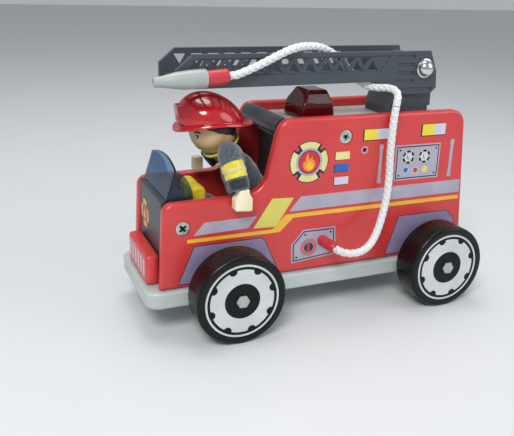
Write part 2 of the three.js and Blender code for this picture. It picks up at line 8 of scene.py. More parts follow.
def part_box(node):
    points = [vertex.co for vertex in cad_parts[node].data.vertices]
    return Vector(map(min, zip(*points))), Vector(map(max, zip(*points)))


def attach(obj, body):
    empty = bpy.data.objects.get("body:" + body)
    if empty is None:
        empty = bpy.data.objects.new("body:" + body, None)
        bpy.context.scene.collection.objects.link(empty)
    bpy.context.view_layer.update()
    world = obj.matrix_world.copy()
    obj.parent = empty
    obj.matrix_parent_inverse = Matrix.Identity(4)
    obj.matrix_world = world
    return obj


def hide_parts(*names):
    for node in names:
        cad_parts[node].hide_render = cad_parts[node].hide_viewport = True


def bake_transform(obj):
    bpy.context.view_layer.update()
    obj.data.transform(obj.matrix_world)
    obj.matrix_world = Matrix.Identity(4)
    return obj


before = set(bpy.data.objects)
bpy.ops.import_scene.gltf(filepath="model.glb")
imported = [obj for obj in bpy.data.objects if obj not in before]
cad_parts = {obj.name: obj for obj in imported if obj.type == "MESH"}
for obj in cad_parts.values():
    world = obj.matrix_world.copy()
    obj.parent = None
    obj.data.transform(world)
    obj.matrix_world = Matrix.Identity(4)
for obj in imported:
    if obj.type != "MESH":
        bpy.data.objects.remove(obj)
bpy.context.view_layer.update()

# Every shape below is worked out in millimetres and put into its mesh in metres.
mm = 0.001
mergeDistance = 0.002 * mm
sides = (("left", 1), ("right", -1))
ends = ("front", "rear")
scene = bpy.context.scene

# Camera, at the angle the toy is usually looked at from: front left, a little above.
cameraView = {
    "place": (0.19583, 0.3833, 0.20892),
    "aim": (0.0371, 0.01633, 0.08033),
    "roll": 1.85,
    "lens": 46.92,
    "sensor": 36.0,
    "shiftY": -0.0531,
}


def addObject(name, data):
    made = bpy.data.objects.new(name, data)
    scene.collection.objects.link(made)
    return made


def makeCamera():
    data = bpy.data.cameras.new("mainCamera")
    data.lens = cameraView["lens"]
    data.sensor_width = cameraView["sensor"]
    data.shift_y = cameraView["shiftY"]
    data.clip_start = 0.01
    camera = addObject("mainCamera", data)
    place = Vector(cameraView["place"])
    look = (Vector(cameraView["aim"]) - place).to_track_quat("-Z", "Y")
    roll = Quaternion((0, 0, 1), math.radians(cameraView["roll"]))
    camera.rotation_mode = "QUATERNION"
    camera.location = place
    camera.rotation_quaternion = look @ roll
    scene.camera = camera


makeCamera()
print("camera placed")


# Small helpers for shapes

def boxOf(node):
    low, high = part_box(node)
    return np.array(low) / mm, np.array(high) / mm


def gridFaces(rows, columns):
    # quads between neighbouring rows and columns of a grid
    index = np.arange(rows * columns).reshape(rows, columns)
    quads = np.stack([index[:-1, :-1], index[:-1, 1:], index[1:, 1:], index[1:, :-1]], axis=-1)
    return quads.reshape(-1, 4).tolist()


def mergeDoubles(mesh, joinFlat=False):
    # Doubles are merged. Then flat faces are joined, or every face is turned outwards.
    work = bmesh.new()
    work.from_mesh(mesh)
    bmesh.ops.remove_doubles(work, verts=work.verts, dist=mergeDistance)
    if joinFlat:
        bmesh.ops.dissolve_limit(work, angle_limit=math.radians(0.6), verts=work.verts, edges=work.edges)
    else:
        bmesh.ops.recalc_face_normals(work, faces=work.faces)
    work.to_mesh(mesh)
    work.free()


def shadeSharp(mesh, degrees):
    mesh.shade_smooth()
    mesh.set_sharp_from_angle(angle=math.radians(degrees))


def joinParts(parts):
    # several closed surfaces become one list of points and one of faces
    points, faces, count = [], [], 0
    for more, moreFaces in parts:
        points.append(more)
        faces += [[i + count for i in face] for face in moreFaces]
        count += len(more)
    return np.concatenate(points), faces


def makePiece(name, points, faces, material, body, replaced=(), sharpAngle=35, uv=None):
    # Points are in millimetres. Doubles are merged, so seams and poles close, and faces turn out.
    mesh = bpy.data.meshes.new(name)
    points = np.asarray(points, float).reshape(-1, 3)
    mesh.from_pydata((points * mm).tolist(), [], faces)
    if uv is not None:
        layer = mesh.uv_layers.new(name="surfaceMap")
        corner = np.empty(len(mesh.loops), np.int32)
        mesh.loops.foreach_get("vertex_index", corner)
        layer.data.foreach_set("uv", np.asarray(uv, np.float32).reshape(-1, 2)[corner].ravel())
    mergeDoubles(mesh)
    shadeSharp(mesh, sharpAngle)
    mesh.materials.append(material)
    piece = addObject(name, mesh)
    if body:
        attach(piece, body)
    if replaced:
        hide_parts(*replaced)
    return piece


def applyModifiers(piece):
    # the modified mesh becomes the piece's own mesh
    graph = bpy.context.evaluated_depsgraph_get()
    finished = bpy.data.meshes.new_from_object(piece.evaluated_get(graph))
    piece.modifiers.clear()
    piece.data = finished


def weightNormals(piece):
    # large flat faces keep flat shading beside their rounded edges
    modifier = piece.modifiers.new("flatShading", "WEIGHTED_NORMAL")
    modifier.keep_sharp = True
    modifier.weight = 100


def roundCorners(corners, radius, steps=6):
    # Each corner of a closed outline becomes an arc tangent to its two sides:
    # the arc's points turn about a centre on the corner's bisector.
    corners = np.asarray(corners, float)
    radii = np.broadcast_to(radius, len(corners))
    rounded = []
    for i, corner in enumerate(corners):
        toBack = corners[i - 1] - corner
        toNext = corners[(i + 1) % len(corners)] - corner
        backLength, nextLength = np.linalg.norm(toBack), np.linalg.norm(toNext)
        toBack, toNext = toBack / backLength, toNext / nextLength
        half = math.acos(np.clip(toBack @ toNext, -1, 1)) / 2
        size = min(radii[i], 0.49 * min(backLength, nextLength) * math.tan(half))
        if size < 0.02 or half > 1.55:
            rounded.append(corner[None])
            continue
        centre = corner + (toBack + toNext) / np.linalg.norm(toBack + toNext) * size / math.sin(half)
        first = corner + toBack * size / math.tan(half) - centre
        last = corner + toNext * size / math.tan(half) - centre
        sweep = math.pi - 2 * half
        t = np.linspace(0, 1, steps + 1)[:, None]
        arc = (np.sin((1 - t) * sweep) * first + np.sin(t * sweep) * last) / math.sin(sweep)
        rounded.append(centre + arc)
    return np.concatenate(rounded)


def rectangle(x0, x1, y0, y1):
    return np.array([(x0, y0), (x1, y0), (x1, y1), (x0, y1)], float)


def turnLeft(outline):
    # an outline drawn clockwise is turned round
    x, y = outline[:, 0], outline[:, 1]
    area = np.sum(x * np.roll(y, -1) - np.roll(x, -1) * y)
    return outline if area > 0 else outline[::-1]


def inwardMitres(outline):
    # at each point, the step that moves both of its sides in by one unit
    side = np.roll(outline, -1, axis=0) - outline
    side /= np.maximum(np.linalg.norm(side, axis=1, keepdims=True), 1e-9)
    normal = np.stack([-side[:, 1], side[:, 0]], axis=1)
    before = np.roll(normal, 1, axis=0)
    spread = 1 + np.sum(normal * before, axis=1, keepdims=True)
    return (normal + before) / np.maximum(spread, 0.35)


def slab(outline, low, high, edge, steps=4):
    # The outline is carried from low to high. Near each face it is drawn in by
    # edge * (1 - sin a) at a depth of edge * (1 - cos a): a quarter-round edge.
    outline = turnLeft(np.asarray(outline, float))
    inward = inwardMitres(outline)
    angle = np.linspace(0, math.pi / 2, steps + 1 if edge > 0 else 1)
    inset = edge * (1 - np.sin(angle))
    depth = edge * (1 - np.cos(angle))
    inset = np.concatenate([inset, inset[::-1]])
    depth = np.concatenate([low + depth, high - depth[::-1]])
    flat = outline[None] + inset[:, None, None] * inward[None]
    rings = np.dstack([flat, np.broadcast_to(depth[:, None], flat.shape[:2])])
    count = len(outline)
    index = np.arange(len(depth) * count).reshape(len(depth), count)
    around = np.roll(index, -1, axis=1)
    quads = np.stack([index[:-1], around[:-1], around[1:], index[1:]], axis=-1).reshape(-1, 4)
    faces = quads.tolist() + [index[0][::-1].tolist(), index[-1].tolist()]
    return rings.reshape(-1, 3), faces


def turned(profile, start, end, columns=72):
    # The profile (radius, height) turns about the line from start towards end.
    profile = np.asarray(profile, float)
    start, end = np.asarray(start, float), np.asarray(end, float)
    along = (end - start) / np.linalg.norm(end - start)
    helper = np.eye(3)[np.argmin(np.abs(along))]
    across = np.cross(along, helper)
    across /= np.linalg.norm(across)
    other = np.cross(along, across)
    angle = np.linspace(0, 2 * math.pi, columns + 1)
    ring = np.cos(angle)[:, None] * across + np.sin(angle)[:, None] * other
    points = start + profile[:, 1, None, None] * along + profile[:, 0, None, None] * ring[None]
    return points.reshape(-1, 3), gridFaces(len(profile), columns + 1)


def smoothPath(knots, spacing):
    # A Catmull-Rom curve through the knots, timed by the square root of each chord.
    knots = np.asarray(knots, float)
    chord = np.sqrt(np.linalg.norm(np.diff(knots, axis=0), axis=1))
    time = np.concatenate([[0], np.cumsum(chord)])
    padded = np.vstack([2 * knots[0] - knots[1], knots, 2 * knots[-1] - knots[-2]])
    timePadded = np.concatenate([[-chord[0]], time, [time[-1] + chord[-1]]])
    slope = np.gradient(padded, timePadded, axis=0)[1:-1]
    t = np.linspace(0, time[-1], len(knots) * 40)
    piece = np.clip(np.searchsorted(time, t, side="right") - 1, 0, len(knots) - 2)
    width = chord[piece]
    u = ((t - time[piece]) / width)[:, None]
    width = width[:, None]
    curve = ((2 * u ** 3 - 3 * u ** 2 + 1) * knots[piece] + (u ** 3 - 2 * u ** 2 + u) * width * slope[piece]
             + (3 * u ** 2 - 2 * u ** 3) * knots[piece + 1] + (u ** 3 - u ** 2) * width * slope[piece + 1])
    walked = np.concatenate([[0], np.cumsum(np.linalg.norm(np.diff(curve, axis=0), axis=1))])
    even = np.linspace(0, walked[-1], max(4, int(walked[-1] / spacing) + 1))
    return np.stack([np.interp(even, walked, curve[:, i]) for i in range(3)], axis=1), even


def carriedFrame(path):
    # At each point two directions across the path, carried along it without twist.
    tangent = np.gradient(path, axis=0)
    tangent /= np.linalg.norm(tangent, axis=1, keepdims=True)
    across = np.empty_like(path)
    across[0] = np.cross(tangent[0], np.eye(3)[np.argmin(np.abs(tangent[0]))])
    for i in range(1, len(path)):
        across[i] = across[i - 1] - tangent[i] * (across[i - 1] @ tangent[i])
        across[i] /= np.linalg.norm(across[i])
    across /= np.linalg.norm(across, axis=1, keepdims=True)
    return across, np.cross(tangent, across)


def ringsAlong(path, radius, across, other, flatten=1.0):
    # A ring round each point of the path, in the plane of across and other. The radius is a grid of
    # point by angle, and flatten squashes the rings along other.
    angle = np.linspace(0, 2 * math.pi, radius.shape[1])
    side = (radius * np.cos(angle))[:, :, None] * across[:, None]
    rise = (radius * np.sin(angle) * flatten)[:, :, None] * other[:, None]
    return path[:, None] + side + rise, gridFaces(len(path), len(angle))


# Small helpers for materials

def toLinear(hexColour):
    # sRGB hex to the linear values that a shader takes
    parts = [int(hexColour[i:i + 2], 16) / 255 for i in (1, 3, 5)]
    linear = [c / 12.92 if c <= 0.04045 else ((c + 0.055) / 1.055) ** 2.4 for c in parts]
    return (*linear, 1.0)


def addNode(tree, kind, inputs=None, **settings):
    # Adds one node with its settings, then fills or links its inputs. A node given as an input
    # is linked by its first output.
    made = tree.nodes.new("ShaderNode" + kind)
    for name, value in settings.items():
        setattr(made, name, value)
    for socket, value in (inputs or {}).items():
        if isinstance(value, bpy.types.Node):
            value = value.outputs[0]
        if isinstance(value, bpy.types.NodeSocket):
            tree.links.new(value, made.inputs[socket])
        else:
            made.inputs[socket].default_value = value
    return made


def startMaterial(name, source="Object"):
    material = bpy.data.materials.new(name)
    material.use_nodes = True
    tree = material.node_tree
    tree.nodes.clear()
    return material, tree, addNode(tree, "TexCoord").outputs[source]


def finishMaterial(tree, inputs):
    shader = addNode(tree, "BsdfPrincipled", inputs)
    addNode(tree, "OutputMaterial", {"Surface": shader})


def scaleFor(size):
    # texture scale that gives features of this many millimetres
    return 1 / (size * mm)


def paintedWood(name, look):
    # Satin lacquer sprayed over sanded beech: an even colour with slow drifts in tone,
    # a faint orange peel, long grain that only just shows, and small dull scuffs.
    material, tree, place = startMaterial(name)
    drift = addNode(tree, "TexNoise", {"Vector": place, "Scale": scaleFor(30), "Detail": 3.0})
    stretch = addNode(tree, "Mapping", {"Vector": place, "Scale": (0.09, 1.0, 1.0)})
    grain = addNode(tree, "TexNoise", {"Vector": stretch, "Scale": scaleFor(1.3), "Detail": 4.0})
    peel = addNode(tree, "TexNoise", {"Vector": place, "Scale": scaleFor(1.1), "Detail": 1.0})
    scuff = addNode(tree, "TexVoronoi",
                    {"Vector": place, "Scale": scaleFor(2.6), "Randomness": 1.0}, feature="F1")
    scuffMask = addNode(tree, "MapRange", {"Value": scuff, "From Min": 0.03, "From Max": 0.12,
                         "To Min": 0.14, "To Max": 0.0})
    tone = addNode(tree, "Mix", {0: drift, 6: toLinear(look["deep"]), 7: toLinear(look["fresh"])},
                   data_type="RGBA")
    grainTint = addNode(tree, "MapRange", {"Value": grain, "From Min": 0.3, "From Max": 0.7,
                         "To Min": 0.93, "To Max": 1.05})
    colour = addNode(tree, "VectorMath", {0: tone.outputs[2], 1: grainTint}, operation="MULTIPLY")
    gloss = addNode(tree, "MapRange",
                    {"Value": drift, "To Min": look["rough"][0], "To Max": look["rough"][1]})
    worn = addNode(tree, "Math", {0: gloss, 1: scuffMask}, operation="ADD")
    longGrain = addNode(tree, "Bump",
                        {"Height": grain, "Distance": look["grainHeight"] * mm, "Strength": 1.0})
    skin = addNode(tree, "Bump", {"Height": peel, "Distance": 0.03 * mm, "Strength": 1.0,
                    "Normal": longGrain})
    finishMaterial(tree, {"Base Color": colour, "Roughness": worn,
                          "Normal": skin, "IOR": look.get("ior", 1.5),
                          "Coat Weight": look["coat"], "Coat Roughness": 0.16})
    return material


def mouldedPlastic(name, look):
    # Injection-moulded ABS: spark-eroded grain, slow flow marks, slightly uneven gloss.
    material, tree, place = startMaterial(name)
    flow = addNode(tree, "TexNoise",
                   {"Vector": place, "Scale": scaleFor(look["flow"]), "Detail": 2.0, "Distortion": 0.8})
    spark = addNode(tree, "TexNoise", {"Vector": place, "Scale": scaleFor(look["grit"]), "Detail": 2.0})
    colour = addNode(tree, "Mix", {0: flow, 6: toLinear(look["deep"]), 7: toLinear(look["fresh"])},
                     data_type="RGBA")
    gloss = addNode(tree, "MapRange", {"Value": spark, "From Min": 0.3, "From Max": 0.7,
                     "To Min": look["rough"][0], "To Max": look["rough"][1]})
    skin = addNode(tree, "Bump", {"Height": spark, "Distance": look["gritHeight"] * mm, "Strength": 1.0})
    finishMaterial(tree, {"Base Color": colour.outputs[2], "Roughness": gloss,
                          "Normal": skin, "IOR": 1.53, "Coat Weight": look["coat"],
                          "Coat Roughness": 0.08})
    return material


def clearPlastic(name, look):
    # Tinted clear polystyrene: light goes through and is coloured, with faint moulding ripples.
    material, tree, place = startMaterial(name)
    ripple = addNode(tree, "TexNoise", {"Vector": place, "Scale": scaleFor(9), "Detail": 1.0})
    dust = addNode(tree, "TexNoise", {"Vector": place, "Scale": scaleFor(0.9), "Detail": 3.0})
    colour = addNode(tree, "Mix", {0: ripple, 6: toLinear(look["deep"]), 7: toLinear(look["fresh"])},
                     data_type="RGBA")
    gloss = addNode(tree, "MapRange", {"Value": dust, "From Min": 0.55, "From Max": 0.75,
                     "To Min": 0.04, "To Max": 0.16})
    skin = addNode(tree, "Bump", {"Height": ripple, "Distance": 0.1 * mm, "Strength": 0.6})
    finishMaterial(tree, {"Base Color": colour.outputs[2], "Roughness": gloss,
                          "Normal": skin, "IOR": look["ior"],
                          "Transmission Weight": look["through"]})
    return material


def plainMetal(name, look):
    # Plated steel: bright metal whose gloss is broken by fine handling marks.
    material, tree, place = startMaterial(name)
    marks = addNode(tree, "TexNoise",
                    {"Vector": place, "Scale": scaleFor(look["marks"]), "Detail": 5.0, "Distortion": 1.2})
    colour = addNode(tree, "Mix", {0: marks, 6: toLinear(look["deep"]), 7: toLinear(look["fresh"])},
                     data_type="RGBA")
    gloss = addNode(tree, "MapRange",
                    {"Value": marks, "To Min": look["rough"][0], "To Max": look["rough"][1]})
    skin = addNode(tree, "Bump", {"Height": marks, "Distance": 0.015 * mm, "Strength": 1.0})
    finishMaterial(tree, {"Base Color": colour.outputs[2], "Roughness": gloss,
                          "Normal": skin, "Metallic": 1.0})
    return material


def woolFelt(name, look):
    # Pressed felt: matted fibres without a weave, a soft edge glow and small tangled lumps.
    material, tree, place = startMaterial(name)
    lumps = addNode(tree, "TexNoise", {"Vector": place, "Scale": scaleFor(2.4), "Detail": 3.0})
    fibres = addNode(tree, "TexNoise",
                     {"Vector": place, "Scale": scaleFor(0.45), "Detail": 4.0, "Distortion": 2.5})
    both = addNode(tree, "Math", {0: fibres, 1: lumps}, operation="MULTIPLY")
    spread = addNode(tree, "MapRange", {"Value": both, "From Min": 0.1, "From Max": 0.42})
    colour = addNode(tree, "Mix", {0: spread, 6: toLinear(look["deep"]), 7: toLinear(look["fresh"])},
                     data_type="RGBA")
    soft = addNode(tree, "Bump", {"Height": lumps, "Distance": 0.25 * mm, "Strength": 0.8})
    skin = addNode(tree, "Bump", {"Height": fibres, "Distance": 0.16 * mm, "Strength": 1.0, "Normal": soft})
    finishMaterial(tree, {"Base Color": colour.outputs[2], "Roughness": 0.95,
                          "Normal": skin, "Sheen Weight": 0.5,
                          "Sheen Roughness": 0.45, "Specular IOR Level": 0.2})
    return material


def beechWood(name, look):
    # Turned beech under a thin matt varnish: pale rings along the grain and short dark flecks.
    material, tree, place = startMaterial(name)
    along = addNode(tree, "Mapping", {"Vector": place, "Scale": (1.0, 1.0, 0.16)})
    rings = addNode(tree, "TexWave", {"Vector": along, "Scale": scaleFor(look["ring"]) / 6,
                     "Distortion": 3.2, "Detail": 3.0, "Detail Scale": 1.5},
                    wave_type="BANDS", bands_direction="DIAGONAL")
    flecks = addNode(tree, "TexNoise", {"Vector": along, "Scale": scaleFor(0.6), "Detail": 3.0})
    fleckMask = addNode(tree, "MapRange", {"Value": flecks, "From Min": 0.6, "From Max": 0.75,
                         "To Min": 1.0, "To Max": 0.82})
    tone = addNode(tree, "Mix",
                   {0: rings.outputs["Fac"], 6: toLinear(look["fresh"]), 7: toLinear(look["deep"])},
                   data_type="RGBA")
    colour = addNode(tree, "VectorMath", {0: tone.outputs[2], 1: fleckMask}, operation="MULTIPLY")
    skin = addNode(tree, "Bump", {"Height": flecks, "Distance": 0.03 * mm, "Strength": 1.0})
    finishMaterial(tree, {"Base Color": colour, "Roughness": look["rough"],
                          "Normal": skin, "IOR": 1.5, "Coat Weight": 0.08,
                          "Coat Roughness": 0.3})
    return material


def cottonBraid(name, look):
    # Plaited cotton: each strand is combed yarn, finer lines run along the strand's own slant. The white yarn
    # is painted greyer in those fine grooves, a painted shade, besides its random fuzz.
    material, tree, place = startMaterial(name, "UV")
    yarn = addNode(tree, "TexWave",
                   {"Vector": place, "Scale": look["yarns"], "Distortion": 1.5, "Detail": 2.0},
                   wave_type="BANDS", bands_direction="DIAGONAL")
    fuzz = addNode(tree, "TexNoise", {"Vector": place, "Scale": look["yarns"] * 3, "Detail": 4.0})
    yarnReliefAndShade = addNode(tree, "Math", {0: yarn.outputs["Fac"], 1: fuzz}, operation="MULTIPLY")
    # the colour darkens where the relief sinks: painted shade in the yarn grooves, mixed with the random fuzz
    colour = addNode(tree, "Mix", {0: yarnReliefAndShade, 6: toLinear(look["deep"]), 7: toLinear(look["fresh"])},
                     data_type="RGBA")
    skin = addNode(tree, "Bump", {"Height": yarnReliefAndShade, "Distance": 0.12 * mm, "Strength": 0.9})
    finishMaterial(tree, {"Base Color": colour.outputs[2], "Roughness": 0.9,
                          "Normal": skin, "Sheen Weight": 0.25, "Sheen Roughness": 0.5,
                          "Specular IOR Level": 0.25})
    return material


def printedInk(name, look):
    # Pad-printed ink on the lacquer: a thin satin film, slightly mottled where it took less well.
    material, tree, place = startMaterial(name)
    mottle = addNode(tree, "TexNoise", {"Vector": place, "Scale": scaleFor(0.8), "Detail": 3.0})
    drift = addNode(tree, "TexNoise", {"Vector": place, "Scale": scaleFor(16), "Detail": 2.0})
    both = addNode(tree, "Math", {0: mottle, 1: drift}, operation="ADD")
    spread = addNode(tree, "MapRange", {"Value": both, "From Min": 0.7, "From Max": 1.3})
    colour = addNode(tree, "Mix", {0: spread, 6: toLinear(look["deep"]), 7: toLinear(look["fresh"])},
                     data_type="RGBA")
    skin = addNode(tree, "Bump", {"Height": mottle, "Distance": 0.01 * mm, "Strength": 1.0})
    finishMaterial(tree, {"Base Color": colour.outputs[2], "Roughness": 0.42,
                          "Normal": skin, "IOR": look.get("ior", 1.5)})
    return material


finishes = {
    "redLacquer": paintedWood("redSatinLacquer", {
        "deep": "#BA2A2B", "fresh": "#D43C3A", "rough": (0.30, 0.40), "grainHeight": 0.02, "coat": 0.35}),
    "greyLacquer": paintedWood("darkGreyLacquer", {
        "deep": "#282D33", "fresh": "#363C43", "rough": (0.40, 0.52), "grainHeight": 0.02, "coat": 0.15}),
    "paleLacquer": paintedWood("paleGreyLacquer", {
        "deep": "#ACB5B2", "fresh": "#BFC7C4", "rough": (0.34, 0.44), "grainHeight": 0.03, "coat": 0.2}),
    "blackLacquer": paintedWood("blackGlossLacquer", {
        "deep": "#08090A", "fresh": "#0F1011", "rough": (0.24, 0.32), "grainHeight": 0.01, "coat": 0.04,
        "ior": 1.34}),
    "yellowPaint": paintedWood("yellowWaterPaint", {
        "deep": "#D9BD1E", "fresh": "#EBD42C", "rough": (0.45, 0.55), "grainHeight": 0.03, "coat": 0.1}),
    "ladderPlastic": mouldedPlastic("bluishGreyPlastic", {
        "deep": "#343B42", "fresh": "#434B52", "flow": 26, "grit": 0.5, "gritHeight": 0.02,
        "rough": (0.33, 0.44), "coat": 0.1}),
    "palePlastic": mouldedPlastic("paleGreyPlastic", {
        "deep": "#959D9A", "fresh": "#A8B0AC", "flow": 14, "grit": 0.5, "gritHeight": 0.012,
        "rough": (0.30, 0.38), "coat": 0.15}),
    "helmetPlastic": mouldedPlastic("redGlossPlastic", {
        "deep": "#A30D16", "fresh": "#BE161F", "flow": 12, "grit": 0.8, "gritHeight": 0.006,
        "rough": (0.14, 0.2), "coat": 0.6}),
    "plugPlastic": mouldedPlastic("redSatinPlastic", {
        "deep": "#B32A31", "fresh": "#C83B42", "flow": 10, "grit": 0.5, "gritHeight": 0.015,
        "rough": (0.36, 0.46), "coat": 0.1}),
    "clearBlue": clearPlastic("clearBluePlastic", {
        "deep": "#658DB4", "fresh": "#7FA6C9", "ior": 1.3, "through": 0.98}),
    "clearRed": clearPlastic("clearRedPlastic", {
        "deep": "#5C0A10", "fresh": "#7A1018", "ior": 1.46, "through": 0.72}),
    "steel": plainMetal("zincPlatedSteel", {
        "deep": "#B9C2B6", "fresh": "#DFE5DB", "marks": 1.4, "rough": (0.34, 0.5)}),
    "chrome": plainMetal("chromePlate", {
        "deep": "#C9CCD0", "fresh": "#E4E6E8", "marks": 3.0, "rough": (0.05, 0.1)}),
    "charcoalFelt": woolFelt("charcoalFelt", {"deep": "#3A4147", "fresh": "#656E76"}),
    "yellowFelt": woolFelt("yellowFelt", {"deep": "#CBB832", "fresh": "#EBE262"}),
    "darkFelt": woolFelt("darkFelt", {"deep": "#22262B", "fresh": "#3A4047"}),
    "beech": beechWood("varnishedBeech", {"deep": "#C29F70", "fresh": "#D3B487", "ring": 3.0, "rough": 0.42}),
    "creamWood": beechWood("bareMaple", {"deep": "#E3D6AE", "fresh": "#F0E6C6", "ring": 5.0, "rough": 0.5}),
    "cotton": cottonBraid("plaitedCotton", {"deep": "#C9CCCB", "fresh": "#FFFFFF", "yarns": 5.0}),
}
inks = {
    "lilac": printedInk("lilacGreyInk", {"deep": "#9C97A6", "fresh": "#B0ABB8"}),
    "paleYellow": printedInk("paleYellowInk", {"deep": "#CFC97C", "fresh": "#DED896"}),
    "lemon": printedInk("lemonInk", {"deep": "#C9BF52", "fresh": "#D6CD66"}),
    "gold": printedInk("goldenYellowInk", {"deep": "#DDA826", "fresh": "#EDBE3A"}),
    "yellow": printedInk("brightYellowInk", {"deep": "#DCC62C", "fresh": "#EAD845"}),
    "navy": printedInk("blueBlackInk", {"deep": "#1B1F2B", "fresh": "#2A2F40"}),
    "silver": printedInk("silverInk", {"deep": "#B9BAC4", "fresh": "#CFD0D9"}),
    "red": printedInk("signalRedInk", {"deep": "#B8232B", "fresh": "#CC3239"}),
    "blue": printedInk("signalBlueInk", {"deep": "#1D4F9C", "fresh": "#2F6BBE"}),
    "orange": printedInk("orangeInk", {"deep": "#DE7A28", "fresh": "#EE9440"}),
    "black": printedInk("blackInk", {"deep": "#08080A", "fresh": "#121215", "ior": 1.3}),
    "white": printedInk("lightGreyInk", {"deep": "#B9BFBD", "fresh": "#CDD2D0"}),
    "slate": printedInk("slateGreyInk", {"deep": "#7C718E", "fresh": "#8C819E"}),
    "brown": printedInk("hairBrownInk", {"deep": "#2B1A12", "fresh": "#3E2A1E"}),
}
print("materials made")


# Rope hose. The routes are the ones that the design fixes: plug to turntable, turntable to nozzle.
hoseSettings = {
    "lowerRoute": [
        (-4.4, 47.7, 47.7), (-4.8, 50.2, 47.5), (-7.6, 53.4, 47), (-12.6, 54.8, 46.6), (-19.4, 54, 47),
        (-27, 51.2, 49.8), (-33.6, 47.6, 56.2), (-39.2, 44, 66.6), (-42.8, 41.4, 78), (-44.5, 39.4, 90),
        (-44.6, 38.4, 104), (-45, 37.8, 117), (-46.2, 36.6, 126.4), (-47, 35.9, 129.9), (-47.8, 35.2, 132.8)],
    "upperRoute": [
        (-47.9, 35.1, 133.1), (-48.8, 34.3, 136.1), (-50.6, 31.8, 139.8), (-50.6, 28.2, 142.2),
        (-47.8, 24, 143.2), (-43, 19.4, 142.9), (-37.6, 15.4, 143.8), (-31.6, 13.2, 147.6),
        (-26, 12.8, 153), (-19.6, 12.8, 159), (-12, 13.2, 164.4), (-2.6, 15, 168.1), (7, 17.6, 169.2),
        (16, 20.6, 168.8), (23.6, 22.6, 167), (32, 23, 163.4), (41, 23.2, 159.4), (50, 23.8, 156),
        (56, 24.5, 154.2), (60.6, 24.75, 153.8)],
    "radius": 2.4,
    "strands": 3,          # strands that wind each way
    "lead": 1.55,          # turn of a strand along the rope, radians per millimetre
    "relief": 0.36,        # depth of the grooves as a share of the radius
}


def ropeSurface(route, startAngle):
    # Two families of strands wind opposite ways, cos(n a + k s) and cos(n a - k s). The higher one
    # shows, and which is on top changes with cos(n a), as in an eight-strand plait.
    path, walked = smoothPath(route, 0.24)
    columns = 40
    angle = np.linspace(0, 2 * math.pi, columns + 1)[None]
    along = walked[:, None] * hoseSettings["lead"] + startAngle
    turns = hoseSettings["strands"] * angle
    right = np.sqrt(0.5 + 0.5 * np.cos(turns + along))
    left = np.sqrt(0.5 + 0.5 * np.cos(turns - along))
    over = np.cos(turns)
    height = np.maximum(right * (1 + 0.12 * over), left * (1 - 0.12 * over))
    radius = hoseSettings["radius"] * (1 - hoseSettings["relief"] * (1 - height))
    radius = np.vstack([np.zeros((1, columns + 1)), radius, np.zeros((1, columns + 1))])
    closed = np.vstack([path[:1] - 1e-3 * (path[1] - path[0]), path,
                        path[-1:] + 1e-3 * (path[-1] - path[-2])])
    points, faces = ringsAlong(closed, radius, *carriedFrame(closed))
    mapU = np.broadcast_to(angle / (2 * math.pi) * hoseSettings["radius"] * 2 * math.pi, radius.shape)
    mapV = np.broadcast_to(np.concatenate([[0], walked, walked[-1:]])[:, None], radius.shape)
    return points, faces, np.dstack([mapU, mapV]) * 0.1, path


def makeRope(name, route, startAngle, node):
    points, faces, uv, path = ropeSurface(hoseSettings[route], startAngle)
    rope = makePiece(name, points, faces, finishes["cotton"], None, [node], 80, uv)
    return rope, path, float(np.sum(np.linalg.norm(np.diff(path, axis=0), axis=1)))


def makeHose(plug, collar, nozzle):
    lower, path, lengthLower = makeRope("lowerHoseRope", "lowerRoute", 0.0, "hose_lower")
    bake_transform(lower)
    upper, path, lengthUpper = makeRope("upperHoseRope", "upperRoute", 0.6, "hose_upper")
    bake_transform(upper)
    print("hose", round(lengthLower), "+", round(lengthUpper), "mm")


# A merged copy of a CAD node whose flat faces are joined and whose edges are rounded.

def dressedCopy(name, node, material, body, slot, width=0.35, segments=2, limit=32):
    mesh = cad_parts[node].data.copy()
    mesh.name = name
    mesh.materials.clear()
    mesh.materials.append(material)
    mergeDoubles(mesh, joinFlat=True)
    shadeSharp(mesh, limit)
    piece = addObject(name, mesh)
    if width > 0:
        rounding = piece.modifiers.new("edgeRounding", "BEVEL")
        rounding.width = width * mm
        rounding.segments = segments
        rounding.limit_method = "ANGLE"
        rounding.angle_limit = math.radians(limit)
        weightNormals(piece)
    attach(piece, body)
    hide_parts(node)
    return piece


def cutBy(piece, cutters):
    # each cutter's space is taken out of the piece, then the cutter goes
    for points, faces in cutters:
        mesh = bpy.data.meshes.new("cutter")
        mesh.from_pydata((np.asarray(points, float).reshape(-1, 3) * mm).tolist(), [], faces)
        mergeDoubles(mesh)
        tool = addObject("cutter", mesh)
        cut = piece.modifiers.new("cut", "BOOLEAN")
        cut.object = tool
        cut.operation = "DIFFERENCE"
        cut.solver = "EXACT"
        applyModifiers(piece)
        bpy.data.objects.remove(tool)
    shadeSharp(piece.data, 35)


def rod(start, end, radius, columns=40):
    # a plain closed round rod, used as a cutter
    length = float(np.linalg.norm(np.subtract(end, start)))
    return turned([(0, 0), (radius, 0), (radius, length), (0, length)], start, end, columns)


